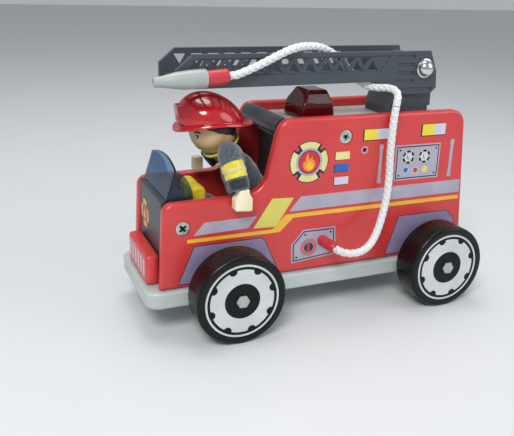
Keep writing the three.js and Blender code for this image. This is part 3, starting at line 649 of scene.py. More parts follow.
# Body boards. Their outlines are drawn from the side, x forwards and z up.
boardSettings = {
    "sideEdge": 2.2,       # rounding of a side panel's edges
    "baseEdge": 1.8,
    "baseCorner": 9.0,
    "bumperEdge": 1.9,
    "screwHead": 4.2,
    "sinkDepth": 1.9,
    "axleBore": 2.3,
    "plugHole": (-2.0, 48.6),
    "plugHoleRadius": 3.9,
    "smallHole": (-28.5, 106.2),
    "smallHoleRadius": 1.5,
    "smallHoleDepth": 3.5,
}
panelLow, panelHigh = boxOf("left_side_panel")
panelOuter, panelInner = panelHigh[1], panelLow[1]
panelFloor, panelTop = panelLow[2], panelHigh[2]
axleCentres = [float(sum(boxOf(name)[i][0] for i in (0, 1)) / 2) for name in ("front_axle", "rear_axle")]
wheelRadius = float(boxOf("front_left_wheel")[1][2] - boxOf("front_left_wheel")[0][2]) / 2
screwPlaces = {}
for screwName in ends:
    screwLow, screwHigh = boxOf("left_" + screwName + "_panel_screw")
    screwPlaces[screwName] = (float(screwLow[0] + screwHigh[0]) / 2, float(screwLow[2] + screwHigh[2]) / 2)


def bezier(points, steps):
    # cubic curve through the first and last point, pulled by the two between
    p0, p1, p2, p3 = np.asarray(points, float)
    t = np.linspace(0, 1, steps + 1)[:, None]
    return (1 - t) ** 3 * p0 + 3 * t * (1 - t) ** 2 * p1 + 3 * t ** 2 * (1 - t) * p2 + t ** 3 * p3


def panelOutline():
    # low at the door, a swoop up behind the cab, tall to the back
    low, top = 83.5, panelTop
    front = roundCorners([(104.4, panelFloor), (102.1, low - 0.7), (54, low)], (0, 6.5, 0), 10)[1:-1]
    swoop = bezier([(54, low), (46, low + 0.3), (38.4, 88), (37.2, 97)], 16)
    brow = bezier([(32.4, 118), (30.4, 126), (28, top), (21, top)], 12)
    back = bezier([(-94, top), (-100.5, top), (-104.6, top - 4), (-105.2, top - 10)], 10)
    return np.concatenate([[(-113.4, panelFloor), (104.4, panelFloor)], front, swoop, brow, back])


def standUp(points, sign=1):
    # slab coordinates (x, z, depth) become (x, depth, z), on the side that sign says
    points = np.asarray(points, float)
    return np.stack([points[:, 0], sign * points[:, 2], points[:, 1]], axis=1)


def makeSidePanels():
    bore = boardSettings["axleBore"]
    for side, sign in sides:
        points, faces = slab(panelOutline(), panelInner, panelOuter, boardSettings["sideEdge"], 5)
        piece = makePiece(side + "SideBoard", standUp(points, sign), faces, finishes["redLacquer"],
                          "root", [side + "_side_panel"], 35)
        cutters = [rod((x, sign * 20, wheelRadius), (x, sign * 45, wheelRadius), bore, 24)
                   for x in axleCentres]
        sink = panelOuter - boardSettings["sinkDepth"]
        for x, z in screwPlaces.values():
            cutters.append(rod((x, sign * sink, z), (x, sign * 40, z), boardSettings["screwHead"] + 0.35, 48))
        if sign > 0:
            x, z = boardSettings["plugHole"]
            cutters.append(rod((x, 20, z), (x, 40, z), boardSettings["plugHoleRadius"], 40))
            x, z = boardSettings["smallHole"]
            start = panelOuter - boardSettings["smallHoleDepth"]
            cutters.append(rod((x, start, z), (x, 40, z), boardSettings["smallHoleRadius"], 32))
        cutBy(piece, cutters)
        weightNormals(piece)


def makeBase():
    low, high = boxOf("base_plate")
    corners = rectangle(low[0], high[0], low[1], high[1])
    outline = roundCorners(corners, boardSettings["baseCorner"], 12)
    points, faces = slab(outline, low[2], high[2], boardSettings["baseEdge"], 5)
    piece = makePiece("baseBoard", points, faces, finishes["paleLacquer"], "root",
                      ["base_plate"], 35)
    middle = (panelInner + panelOuter) / 2
    cutters = [rod((x, -45, wheelRadius), (x, 45, wheelRadius), boardSettings["axleBore"], 24)
               for x in axleCentres]
    for end in ends:
        headLow, headHigh = boxOf("left_" + end + "_base_screw")
        x = float(headLow[0] + headHigh[0]) / 2
        cutters += [rod((x, sign * middle, low[2] - 1), (x, sign * middle, low[2] + 2.4), 3.7, 32)
                    for sign in (1, -1)]
    cutBy(piece, cutters)
    weightNormals(piece)
    low, high = boxOf("bumper")
    outline = roundCorners(rectangle(low[0], high[0], low[1], high[1]), 3, 6)
    points, faces = slab(outline, low[2], high[2], boardSettings["bumperEdge"], 5)
    piece = makePiece("bumperBlock", points, faces, finishes["redLacquer"], "root",
                      ["bumper"], 35)
    weightNormals(piece)


def makeInnerBoards():
    boards = [
        ("hoodBlock", "hood_block", "greyLacquer", "dark_grey_painted_wood", 0.8),
        ("cabSeatBlock", "cab_seat", "greyLacquer", "dark_grey_painted_wood", 1.0),
        ("cabWallBoard", "cab_back_wall", "greyLacquer", "dark_grey_painted_wood", 0.6),
        ("roofBarRod", "roof_bar", "greyLacquer", "dark_grey_painted_wood", 0.5),
        ("roofDeckBoard", "roof_deck", "paleLacquer", "pale_grey_painted_wood", 1.0),
        ("rearBoard", "rear_panel", "redLacquer", "red_painted_wood", 0.8),
        ("frontAxleBlock", "front_axle_block", "beech", "beech_wood", 0.8),
        ("rearAxleBlock", "rear_axle_block", "beech", "beech_wood", 0.8),
    ]
    for name, node, finish, slot, width in boards:
        dressedCopy(name, node, finishes[finish], "root", slot, width, 3)


makeSidePanels()
makeBase()
makeInnerBoards()
print("boards made")


# Screws: a domed head with a cross cut in it, worked out on a polar grid.
screwSettings = {
    "crossWidth": 0.75,
    "crossLength": 2.5,
    "crossDepth": 1.0,
    "turn": 0.7,
    "rearTurn": 0.5,                 # how much further the rear screws are turned
    "panel": (0.55, 1.7, 12),        # dome, shank radius, length
    "base": (3.3, 0.0, 1.4, 14),     # head radius, dome, shank radius, length
}


def screwSurface(headRadius, dome, shank, length, centre, outward, turn):
    # Height over the head is dome * (1 - (r/R)^2), less the cross: a groove where either
    # |u| < width and |v| < reach or the other way round. The grid goes on down the side and shank.
    columns = 96
    angle = np.linspace(0, 2 * math.pi, columns + 1)[None]
    r = np.linspace(0, headRadius, 40)[:, None]
    u, v = np.abs(r * np.cos(angle - turn)), np.abs(r * np.sin(angle - turn))
    narrow, reach = screwSettings["crossWidth"], screwSettings["crossLength"] * headRadius / 4.2
    barU = np.clip((narrow - u) / 0.25 + 0.5, 0, 1) * np.clip((reach - v) / 0.4 + 0.5, 0, 1)
    barV = np.clip((narrow - v) / 0.25 + 0.5, 0, 1) * np.clip((reach - u) / 0.4 + 0.5, 0, 1)
    cross = np.maximum(barU, barV)
    height = dome * (1 - (r / headRadius) ** 2) - screwSettings["crossDepth"] * cross
    lowerR = np.array([headRadius, headRadius, shank, shank, 0])[:, None]
    lowerH = np.array([-0.15, -1.2, -1.8, -length, -length - 1.0])[:, None]
    radius = np.vstack([np.broadcast_to(r, height.shape), np.broadcast_to(lowerR, (5, columns + 1))])
    height = np.vstack([height, np.broadcast_to(lowerH, (5, columns + 1))])
    outward = np.asarray(outward, float)
    across = np.cross(outward, (0, 0, 1) if abs(outward[2]) < 0.5 else (1, 0, 0))
    other = np.cross(outward, across)
    points = (np.asarray(centre, float) + height[..., None] * outward
              + (radius * np.cos(angle))[..., None] * across + (radius * np.sin(angle))[..., None] * other)
    return points, gridFaces(len(radius), columns + 1)


def makeRecessShade(name, x, sign, z, turn):
    # painted shade in a cross recess: a black plus-shaped plate low in the groove of the steel head, where
    # the recess lies in shadow
    long, short = screwSettings["crossLength"] - 0.15, screwSettings["crossWidth"] - 0.05
    corners = [(long, short), (short, short), (short, long), (-short, long),
               (-short, short), (-long, short), (-long, -short), (-short, -short),
               (-short, -long), (short, -long), (short, -short), (long, -short)]
    points, faces = slab(corners, -0.95, -0.5, 0)
    u = points[:, 0] * math.cos(turn) - points[:, 1] * math.sin(turn)
    v = points[:, 0] * math.sin(turn) + points[:, 1] * math.cos(turn)
    points = np.stack([x + u, sign * (panelOuter - 0.1 + points[:, 2]), z + v], axis=1)
    makePiece(name, points, faces, inks["black"], "root", (), 30)


def makeScrews():
    for side, sign in sides:
        for end, (x, z) in screwPlaces.items():
            turn = screwSettings["turn"] + (screwSettings["rearTurn"] if end == "rear" else 0)
            label, node = side + end.title(), f"{side}_{end}_"
            centre = (x, sign * (panelOuter - 0.45), z)
            points, faces = screwSurface(boardSettings["screwHead"], *screwSettings["panel"], centre,
                                         (0, sign, 0), turn)
            makePiece(label + "PanelScrew", points, faces, finishes["steel"], "root",
                      [node + "panel_screw"], 30)
            # a black plate of painted shade at the bottom of each cross cut
            makeRecessShade(label + "ScrewRecessShade", x, sign, z, turn)
            low, high = boxOf(node + "base_screw")
            centre = ((low[0] + high[0]) / 2, (low[1] + high[1]) / 2, low[2])
            points, faces = screwSurface(*screwSettings["base"], centre, (0, 0, -1), 0.3 * sign)
            makePiece(label + "BaseScrew", points, faces, finishes["steel"], "root",
                      [node + "base_screw"], 30)


makeScrews()
print("screws made")


# Wheels: turned wood, gloss black, with a printed ring, notched plate and hub.
wheelSettings = {
    "shoulder": 3.2,
    "ringRadius": 0.80,      # the printed parts as shares of the wheel's radius
    "plateRadius": 0.715,
    "hubRadius": 0.395,
    "notches": 8,
    "notchRadius": 2.6,
    "firstNotch": 0.47,      # angle of the first notch, in radians
    "rim": 0.86,             # where the face starts to sink, as a share of the radius
    "face": 0.825,
    "recess": 0.5,
}


def makeWheels():
    for axle, x in zip(ends, axleCentres):
        body = axle + "_wheels"
        dressedCopy(axle + "AxleRod", axle + "_axle", finishes["steel"], body, "steel", 0.3, 2)
        for side, sign in sides:
            low, high = boxOf(axle + "_" + side + "_wheel")
            width = high[1] - low[1]
            inner = low[1] if sign > 0 else high[1]
            shoulder, sunk = wheelSettings["shoulder"], width - wheelSettings["recess"]
            profile = roundCorners(
                [(0, 0), (wheelRadius, 0), (wheelRadius, width), (wheelSettings["rim"] * wheelRadius, width),
                 (wheelSettings["face"] * wheelRadius, sunk), (0, sunk)],
                (0, shoulder, shoulder, 0.8, 0.8, 0), 8)
            start, end = (x, inner, wheelRadius), (x, inner + sign * 10, wheelRadius)
            points, faces = turned(profile, start, end, 112)
            makePiece(axle + side.title() + "Wheel", points, faces, finishes["blackLacquer"], body,
                      [f"{axle}_{side}_wheel"], 40)
            dressedCopy(axle + side.title() + "HubNut", f"{axle}_{side}_hub_nut", finishes["palePlastic"],
                        body, "pale_grey_plastic", 0.4, 3, 25)


makeWheels()
print("wheels made")


# Printed graphics: thin films of ink on the boards and wheels, one piece per colour and side.
# Outlines are (x, z) on a side panel. A higher layer lies on top of a lower one.
printSettings = {
    "film": 0.05,
    "hoodEmblem": (-13, 63, 9.2),
    "emblemSize": 12.7,
    "labels": [(-12.8, 103.7, "paleYellow"), (-12.7, 96.0, "blue"), (-13, 87.5, "silver")],
    "patches": [(-27.5, -45.5, 112.5, 119.3), (-71.2, -89.5, 112.8, 120.2)],
    "handleBars": (-41, -96.5),
    "emblem": (10.4, 101.4),
    "valve": (7.6, 45.0),
    "gauges": [(-62.2, 99.1), (-74.8, 98.8)],
    "lamps": [(-60.9, 90.4, "blue"), (-68.5, 89.8, "red"), (-76.0, 89.8, "yellow")],
    "hosePlate": [(19.2, 35.2), (19.8, 48), (11.9, 57.2), (-11.1, 57.1), (-12.5, 38.0)],
    "gaugePlate": [(-52.3, 83.6), (-52, 107.4), (-87, 107.2), (-87.3, 83.4)],
    "frontArch": [(94, 31.7), (83.8, 55.6), (40.1, 55.9), (37.4, 53), (28, 31.7)],
    "rearArch": [(-50.5, 31.7), (-59.1, 58.8), (-98.6, 58.7), (-105.5, 52), (-110, 31.7)],
    "greyStripe": [(22.4, 70.6), (14.8, 79.7), (-106.4, 80.2), (-107, 71.2)],
    "greyPatch": [(84.2, 62.1), (77.4, 69.7), (43.8, 70.1), (49.5, 63.1)],
    "lemonPatch": [(46.1, 62.3), (34.2, 80.2), (19.6, 79.5), (31, 61.7)],
    "goldStripe": [(88, 57.9), (88, 60.1), (33.3, 60.2), (24.6, 68.9), (-106.8, 68.9), (-107, 66.3),
                   (19.5, 66.3), (28.2, 57.9)],
}


def circle(x, z, radius, count=48):
    angle = np.arange(count) * 2 * math.pi / count
    return np.stack([x + radius * np.cos(angle), z + radius * np.sin(angle)], axis=1)


def sector(x, z, inner, outer, first, last, count=16):
    # a piece of a ring, from the first angle to the last, in degrees
    angle = np.radians(np.linspace(first, last, count))
    arc = np.stack([np.cos(angle), np.sin(angle)], axis=1)
    return np.concatenate([(x, z) + outer * arc, (x, z) + inner * arc[::-1]])


def shrink(outline, amount):
    outline = turnLeft(np.asarray(outline, float))
    return outline + amount * inwardMitres(outline)


def flame(x, z, size):
    # a leaning flame with three tongues
    tongues = [(0, -1), (0.55, -0.8), (0.75, -0.3), (0.6, 0.15), (0.42, 0.05), (0.45, 0.5), (0.2, 1.0),
               (0.05, 0.5), (-0.1, 0.25), (-0.3, 0.65), (-0.42, 0.2), (-0.62, 0.1), (-0.72, -0.35),
               (-0.5, -0.8)]
    return (x, z) + size * np.array(tongues)


def emblemShapes(x, z, size):
    # a ring of four curved plates with dark gaps, a grey ring and a flame on a red disc
    shapes = {"navy": [], "paleYellow": [], "lilac": [], "red": [], "orange": [], "gold": []}
    for quarter in (0, 90, 180, 270):
        shapes["navy"].append((sector(x, z, 0.62 * size, 1.045 * size, quarter - 40, quarter + 40), 0))
        shapes["paleYellow"].append((sector(x, z, 0.66 * size, size, quarter - 33, quarter + 33), 1))
        shapes["navy"].append((sector(x, z, 0.6 * size, 0.84 * size, quarter + 38, quarter + 52), 0))
    shapes["lilac"].append((circle(x, z, 0.70 * size), 2))
    shapes["navy"].append((circle(x, z, 0.585 * size), 3))
    shapes["red"].append((circle(x, z, 0.545 * size), 4))
    shapes["orange"].append((flame(x, z, 0.46 * size), 5))
    shapes["gold"].append((flame(x - 0.03 * size, z - 0.14 * size, 0.27 * size), 6))
    return shapes


def plateShapes(outline, dots):
    # a pale border, a dark line and a grey plate with a dark rivet in each corner
    shapes = {
        "lilac": [(outline, 0), (shrink(outline, 1.75), 2)],
        "navy": [(shrink(outline, 0.95), 1)],
    }
    shapes["navy"] += [(circle(x, z, 0.75, 20), 3) for x, z in shrink(outline, 3.4)[dots]]
    return shapes


def sideShapes():
    shapes = {name: [] for name in inks}

    def gather(more):
        for name, some in more.items():
            shapes[name] += some

    gather({"navy": [(printSettings["frontArch"], 0), (printSettings["rearArch"], 0)],
            "slate": [(shrink(printSettings[name], 0.5), 1) for name in ("frontArch", "rearArch")],
            "lilac": [(printSettings["greyStripe"], 0), (printSettings["greyPatch"], 0)],
            "lemon": [(printSettings["lemonPatch"], 0)],
            "gold": [(printSettings["goldStripe"], 2)]})
    gather(emblemShapes(*printSettings["emblem"], printSettings["emblemSize"]))
    gather(plateShapes(printSettings["hosePlate"], [0, 2, 3, 4]))
    gather(plateShapes(printSettings["gaugePlate"], [0, 1, 2, 3]))
    x, z = printSettings["valve"]
    gather({"red": [(circle(x, z, 5.8), 3), (circle(x, z, 4.7), 5)],
            "lilac": [(circle(x, z, 5.2), 4), (circle(x, z, 3.9), 6)],
            "navy": [(circle(x, z, 3.3), 7)]})
    gather({"red": [([(x - 0.9, z - 2.9), (x + 1.3, z - 2.9), (x + 1.0, z + 2.9), (x - 0.6, z + 2.9)], 8)]})
    for x, z in printSettings["gauges"]:
        gather({"white": [(circle(x, z, 4.7), 3)]})
        gather({"black": [(sector(x, z, 3.1, 4.5, a + 8, a + 52, 8), 4) for a in range(0, 360, 60)]})
        gather({"black": [([(x - 0.3, z - 1.6), (x + 0.5, z - 1.5), (x + 1.3, z + 1.9)], 4)]})
    for x, z, ink in printSettings["lamps"]:
        gather({"white": [(circle(x, z, 2.3, 28), 3)], ink: [(circle(x, z, 1.8, 28), 4)]})
    for x, z, ink in printSettings["labels"]:
        gather({"navy": [(rectangle(x - 4.6, x + 5.6, z - 2.9, z + 2.5), 0)],
                ink: [(rectangle(x - 5, x + 5, z - 2.5, z + 2.5), 1)]})
    for first, last, low, high in printSettings["patches"]:
        middle = first + 0.52 * (last - first)
        gather({"navy": [(rectangle(last - 0.3, first + 1.0, low - 0.6, high + 0.3), 0)],
                "yellow": [(rectangle(middle, first, low, high), 1)],
                "silver": [(rectangle(last, middle, low, high), 1)]})
    for x in printSettings["handleBars"]:
        gather({"lilac": [(roundCorners(rectangle(x - 1.15, x + 1.15, 84.5, 107.5), 0.9), 0),
                          (roundCorners(rectangle(x - 1.5, x + 1.5, 105, 109), 1.2), 1),
                          (roundCorners(rectangle(x - 1.5, x + 1.5, 83, 87), 1.2), 1)]})
    x, z = boardSettings["smallHole"]
    inner = boardSettings["smallHoleRadius"]
    gather({"lilac": [(sector(x, z, inner, inner + 1.0, a, a + 180, 24), 0) for a in (0, 180)]})
    return shapes


def printFilm(name, shapes, ink, place, body):
    # every outline becomes a thin closed plate; place turns (u, v, height) into a point
    plates = [slab(outline, -0.04, printSettings["film"] * (layer + 1), 0) for outline, layer in shapes]
    points, faces = joinParts(plates)
    makePiece(name, place(points), faces, inks[ink], body, (), 30)


def makeSidePrints():
    shapes = sideShapes()
    for side, sign in sides:
        def place(p, sign=sign):
            return np.stack([p[:, 0], sign * (panelOuter + p[:, 2]), p[:, 1]], axis=1)
        for ink, some in shapes.items():
            if some:
                printFilm(f"{side}Print{ink.title()}", some, ink, place, "root")


def makeFrontPrints():
    def onFront(node):
        front = boxOf(node)[1][0]
        return lambda p: np.stack([front + p[:, 2], p[:, 0], p[:, 1]], axis=1)

    for ink, some in emblemShapes(*printSettings["hoodEmblem"]).items():
        printFilm("hoodPrint" + ink.title(), some, "gold" if ink == "paleYellow" else ink,
                  onFront("hood_block"), "root")
    bars = [(roundCorners(rectangle(y - 1.3, y + 1.3, 33.6, 44.2), 0.8), 0)
            for y in np.linspace(-17.5, 17.5, 6)]
    printFilm("bumperPrintBars", bars, "silver", onFront("bumper"), "root")


def makeWheelPrints():
    radius = wheelRadius
    for axle, x in zip(ends, axleCentres):
        for side, sign in sides:
            low, high = boxOf(f"{axle}_{side}_wheel")
            face = (high[1] if sign > 0 else -low[1]) - wheelSettings["recess"]

            def place(p, x=x, sign=sign, face=face):
                return np.stack([x + p[:, 0], sign * (face + p[:, 2]), radius + p[:, 1]], axis=1)

            plate = wheelSettings["plateRadius"] * radius
            ring = wheelSettings["ringRadius"] * radius
            pale = [(sector(0, 0, ring - 0.6, ring + 0.6, a, a + 90, 30), 3) for a in range(0, 360, 90)]
            pale.append((circle(0, 0, plate, 96), 0))
            dark = [(circle(0, 0, wheelSettings["hubRadius"] * radius, 72), 1)]
            turn = 2 * math.pi / wheelSettings["notches"]
            for i in range(wheelSettings["notches"]):
                angle = wheelSettings["firstNotch"] + i * turn
                middle = (plate + 0.3) * np.array([math.cos(angle), math.sin(angle)])
                dark.append((circle(*middle, wheelSettings["notchRadius"], 24), 1))
            name = axle + side.title()
            printFilm(name + "PlatePrint", pale, "white", place, axle + "_wheels")
            printFilm(name + "HubPrint", dark, "black", place, axle + "_wheels")


makeSidePrints()
makeFrontPrints()
makeWheelPrints()
print("prints made")


# Clear mouldings, turntable, ladder, and the fittings on the hose
def makeMouldings():
    parts = [
        ("windscreenShell", "windscreen", "clearBlue", "root", "clear_blue_plastic", 0.3, 2, 32),
        ("beaconLens", "beacon_lens", "clearRed", "root", "clear_red_plastic", 1.3, 4, 20),
        ("turntableYoke", "turntable_yoke", "ladderPlastic", "turntable", "dark_grey_plastic", 0.5, 3, 40),
        ("turntableWasher", "turntable_washer", "steel", "turntable", "steel", 0.3, 2, 40),
        ("turntableScrew", "turntable_screw", "steel", "turntable", "steel", 0.3, 2, 40),
        ("ladderBoom", "ladder_boom", "ladderPlastic", "ladder", "dark_grey_plastic", 0.3, 2, 40),
        ("pivotBolt", "ladder_pivot_bolt", "steel", "ladder", "steel", 0.3, 2, 40),
    ]
    for name, node, finish, *rest in parts:
        dressedCopy(name, node, finishes[finish], *rest)
    for side, sign in sides:
        low, high = boxOf(side + "_cap_nut")
        x, z = (low[0] + high[0]) / 2, (low[2] + high[2]) / 2
        y = low[1] if sign > 0 else high[1]
        radius, height = (high[2] - low[2]) / 2, high[1] - low[1]
        profile = [(0, 0), (radius, 0), (radius, 0.9), (radius - 0.7, 1.3)]
        angle = np.linspace(0, math.pi / 2, 14)
        dome = np.stack([(radius - 0.8) * np.cos(angle), 1.3 + (height - 1.3) * np.sin(angle)], axis=1)
        points, faces = turned(np.concatenate([profile, dome]), (x, y, z), (x, y + sign * 10, z), 64)
        makePiece(side + "CapNut", points, faces, finishes["chrome"], "ladder",
                  [side + "_cap_nut"], 30)


fittingSettings = {
    "collarStart": (60.95, 24.75, 153.75),
    "collarEnd": (74.2, 24.95, 152.6),
    "nozzleStart": (74.2, 25.6, 153.0),
    "nozzleEnd": (105.0, 26.1, 151.6),
}


def makeFittings():
    plug = dressedCopy("hosePlug", "hose_plug", finishes["plugPlastic"], "root", "red_satin_plastic",
                       0.5, 3, 40)
    start, end = fittingSettings["collarStart"], fittingSettings["collarEnd"]
    length = math.dist(start, end) - 0.3
    profile = roundCorners([(0, 0), (4.3, 0), (4.5, 1.2), (4.5, length), (0, length)],
                           (0, 0.6, 0.3, 0.5, 0), 5)
    points, faces = turned(profile, start, end, 64)
    collar = makePiece("nozzleCollar", points, faces, finishes["plugPlastic"], "ladder",
                       ["nozzle_collar"], 40)
    start, end = fittingSettings["nozzleStart"], fittingSettings["nozzleEnd"]
    length = math.dist(start, end)
    profile = roundCorners(
        [(0, 0), (5.4, 0), (5.4, 10), (4.7, 18), (3.2, 26), (2.7, length), (1.6, length), (1.6, length - 8),
         (0, length - 8)], (0, 0.8, 6, 6, 5, 0.5, 0.4, 0.3, 0), 6)
    points, faces = turned(profile, start, end, 64)
    nozzle = makePiece("hoseNozzle", points, faces, finishes["palePlastic"], "ladder",
                       ["nozzle"], 40)
    return plug, collar, nozzle


makeMouldings()
hoseFittings = makeFittings()
makeHose(*hoseFittings)
print("mouldings and hose made")


# Firefighter: a wooden ball head, a felt jacket and trousers, wooden hands and painted boots.
figureSettings = {
    "head": (62.4, 3.0, 117.5),
    "headRadius": 14.4,
    "headFlatten": 0.96,
    "faceTurn": 6.0,
    "hairline": [(0, 20), (50, 17), (84, 6), (118, -2), (156, -12), (180, -20)],
    "brimHeight": 120.0,
    "brimCentre": 62.4,
    "brimLength": 24.8,
    "brimWidth": 19.8,
    "brimArch": 5.0,         # how far both sides of the brim rise above its front
    "domeCentre": 63.2,
    "domeLength": 19.7,
    "domeWidth": 17.2,
    "domeHeight": 18.7,
    "domeLean": 5.5,         # how far the top sits in front of the rim's centre
    "crestHalf": 5.0,
    "crestHeight": 1.9,
    "shell": 1.3,
}


def onHead(azimuth, elevation, radius):
    # angles in degrees; azimuth 0 looks forwards, along x
    a, e = np.radians(azimuth), np.radians(elevation)
    head = np.array(figureSettings["head"])
    flat = figureSettings["headFlatten"]
    return head + radius[..., None] * np.stack(
        [np.cos(e) * np.cos(a), np.cos(e) * np.sin(a), flat * np.sin(e)], axis=-1)


def headStroke(line, halfWidth, thickness=0.16):
    # A painted stroke: an oval section follows the line over the head and tapers to both ends.
    line = np.asarray(line, float)
    t = np.linspace(0, 1, 25)
    middle = np.stack([np.interp(t, np.linspace(0, 1, len(line)), line[:, i]) for i in (0, 1)], axis=1)
    taper = np.sqrt(np.maximum(1 - (2 * t - 1) ** 4, 0))
    angle = np.linspace(0, 2 * math.pi, 17)
    azimuth = middle[:, :1] + 0 * angle
    elevation = middle[:, 1:] + halfWidth * taper[:, None] * np.cos(angle)
    radius = figureSettings["headRadius"] + thickness * taper[:, None] * np.sin(angle)
    return onHead(azimuth, elevation, radius).reshape(-1, 3), gridFaces(len(t), len(angle))


def strokesPiece(name, strokes, ink):
    points, faces = joinParts(strokes)
    makePiece(name, points, faces, inks[ink], "figure_head", (), 40)


def makeHead():
    azimuth = np.linspace(-180, 180, 97)[None]
    elevation = np.linspace(90, -90, 65)[:, None]
    radius = np.full((65, 97), figureSettings["headRadius"])
    points = onHead(azimuth + 0 * elevation, elevation + 0 * azimuth, radius)
    makePiece("woodenHead", points, gridFaces(65, 97), finishes["beech"], "figure_head",
              ["figure_head"])
    hairline = np.array(figureSettings["hairline"], float)
    edge = np.interp(np.abs(azimuth), hairline[:, 0], hairline[:, 1])
    edge = edge + 0.8 * np.sin(np.radians(azimuth) * 16)
    t = np.linspace(0, 1, 24)[:, None]
    outer = 90 + (edge - 90) * t
    rows = np.vstack([outer, outer[::-1]])
    skin = figureSettings["headRadius"] + np.vstack([np.full_like(outer, 0.35), np.full_like(outer, -0.4)])
    skin[22:24] -= np.array([[0.1], [0.3]])
    points = onHead(azimuth + 0 * rows, rows, skin)
    makePiece("paintedHair", points, gridFaces(len(rows), 97), inks["brown"], "figure_head")
    eyes, brows, whites = [], [], []
    turn = figureSettings["faceTurn"]
    for sign in (1, -1):
        middle = turn + sign * 25.5

        def along(*line):
            return [(middle + sign * a, e) for a, e in line]
        whites.append(headStroke(along((-6, -7.5), (6.5, -7.5)), 4.6, 0.10))
        eyes.append(headStroke(along((-1.5, -7.8), (4.2, -7.8)), 4.0, 0.2))
        eyes.append(headStroke(along((-7.5, -5.0), (0, -1.8), (7.5, -4.6)), 1.3, 0.2))
        brows.append(headStroke(along((-12, 1.2), (-2, 6.0), (11, 3.6)), 2.3, 0.16))
    mouth = [headStroke([(turn + a, -47 + 9 * (a / 28) ** 2) for a in np.linspace(-28, 28, 9)], 1.5, 0.14)]
    strokesPiece("paintedEyeWhites", whites, "white")
    strokesPiece("paintedEyes", eyes + brows, "black")
    strokesPiece("paintedMouth", mouth, "brown")


def makeHelmet():
    # Dome: an ellipsoid sheared forwards. Brim: its rim runs out to a wider oval, rises as y squared
    # on both sides and curls up at the back. Crest: a flat-topped ridge from front to back.
    s = figureSettings
    middleY = s["head"][1]
    angle = np.linspace(0, 2 * math.pi, 129)[None]
    t = np.linspace(0, 1, 45)[:, None]
    rise, reach = np.cos(t * math.pi / 2), np.sin(t * math.pi / 2)
    domeX = s["domeCentre"] + s["domeLength"] * reach * np.cos(angle)
    domeY = middleY + s["domeWidth"] * reach * np.sin(angle)
    edge = np.clip((s["crestHalf"] - np.abs(domeY - middleY)) / 0.8 + 0.5, 0, 1)
    ridge = s["crestHeight"] * edge ** 2 * (3 - 2 * edge) * np.clip((1 - t) / 0.1, 0, 1)
    arch = s["brimArch"] * ((domeY - middleY) / s["brimWidth"]) ** 2 * (1 - 0.9 * rise)
    domeX = domeX + ridge * reach * np.cos(angle) + s["domeLean"] * rise
    domeZ = s["brimHeight"] + 1.4 + (s["domeHeight"] + ridge) * rise + arch
    out = np.linspace(0, 1, 14)[1:, None]
    flare = 1 - (1 - out) ** 2
    brimX = s["domeCentre"] + (s["brimCentre"] - s["domeCentre"]) * out + np.cos(angle) * (
        s["domeLength"] + (s["brimLength"] - s["domeLength"]) * out)
    brimY = middleY + np.sin(angle) * (s["domeWidth"] + (s["brimWidth"] - s["domeWidth"]) * out)
    back = np.clip(-np.cos(angle), 0, 1) ** 3
    brimZ = s["brimHeight"] + 1.4 * (1 - flare) - 0.8 * back * np.sin(math.pi * out) + 3.0 * back * out ** 2
    brimZ = brimZ + s["brimArch"] * ((brimY - middleY) / s["brimWidth"]) ** 2
    pairs = ((domeX, brimX), (domeY, brimY), (domeZ, brimZ))
    points = np.stack([np.vstack(pair) for pair in pairs], axis=-1)
    helmet = makePiece("helmetShell", points, gridFaces(len(points), 129), finishes["helmetPlastic"],
                       "figure_head", ["figure_helmet"], 180)
    wall = helmet.modifiers.new("wall", "SOLIDIFY")
    wall.thickness = s["shell"] * mm
    wall.offset = -1
    rim = helmet.modifiers.new("rim", "BEVEL")
    rim.width = 0.35 * mm
    rim.segments = 3
    rim.limit_method = "ANGLE"
    rim.angle_limit = math.radians(60)
    shield = roundCorners([(-3.8, 11.6), (-4.2, 3.4), (0, 0), (4.2, 3.4), (3.8, 11.6), (0, 12.8)], 0.9, 5)
    points, faces = slab(shield, -5, 1.2, 0.6, 3)
    x = 83.2 + 0.14 * points[:, 1] + points[:, 2]
    points = np.stack([x, middleY + points[:, 0], s["brimHeight"] + 2.6 + points[:, 1]], axis=1)
    weightNormals(makePiece("helmetShield", points, faces, finishes["helmetPlastic"], "figure_head"))


limbs = {
    "left": [(50, 14.0, 97.5), (54.6, 19.6, 103.4), (59.4, 25.2, 107.6), (59.8, 29.0, 104.2),
             (58.8, 32.6, 99.2), (57.7, 35.8, 93.0), (57.2, 37.6, 89.2)],
    "right": [(45.5, -9.5, 100.5), (47, -14.8, 101.8), (50.5, -17.8, 99.6), (54.5, -18.4, 96.2),
              (58.6, -18.5, 93.2)],
}
sleeveRadius = [6.2, 7.3, 7.7, 7.4, 7.0, 6.6]
sleeveBands = (          # where each band starts and ends along the sleeve, and how far it stands out
    ("Band", 0.62, 0.83, 0.32, finishes["yellowFelt"]),
    ("BandLine", 0.71, 0.74, 0.5, inks["silver"]),
    ("Cuff", 0.86, 0.985, 0.3, finishes["darkFelt"]),
)
# the left hand's outline as shares of its half width and half height
handShape = [(-0.98, -1), (0.98, -0.86), (1, 0.1), (0.62, 0.6), (0.6, 1), (-0.6, 1), (-0.62, 0.6), (-1, 0.1)]


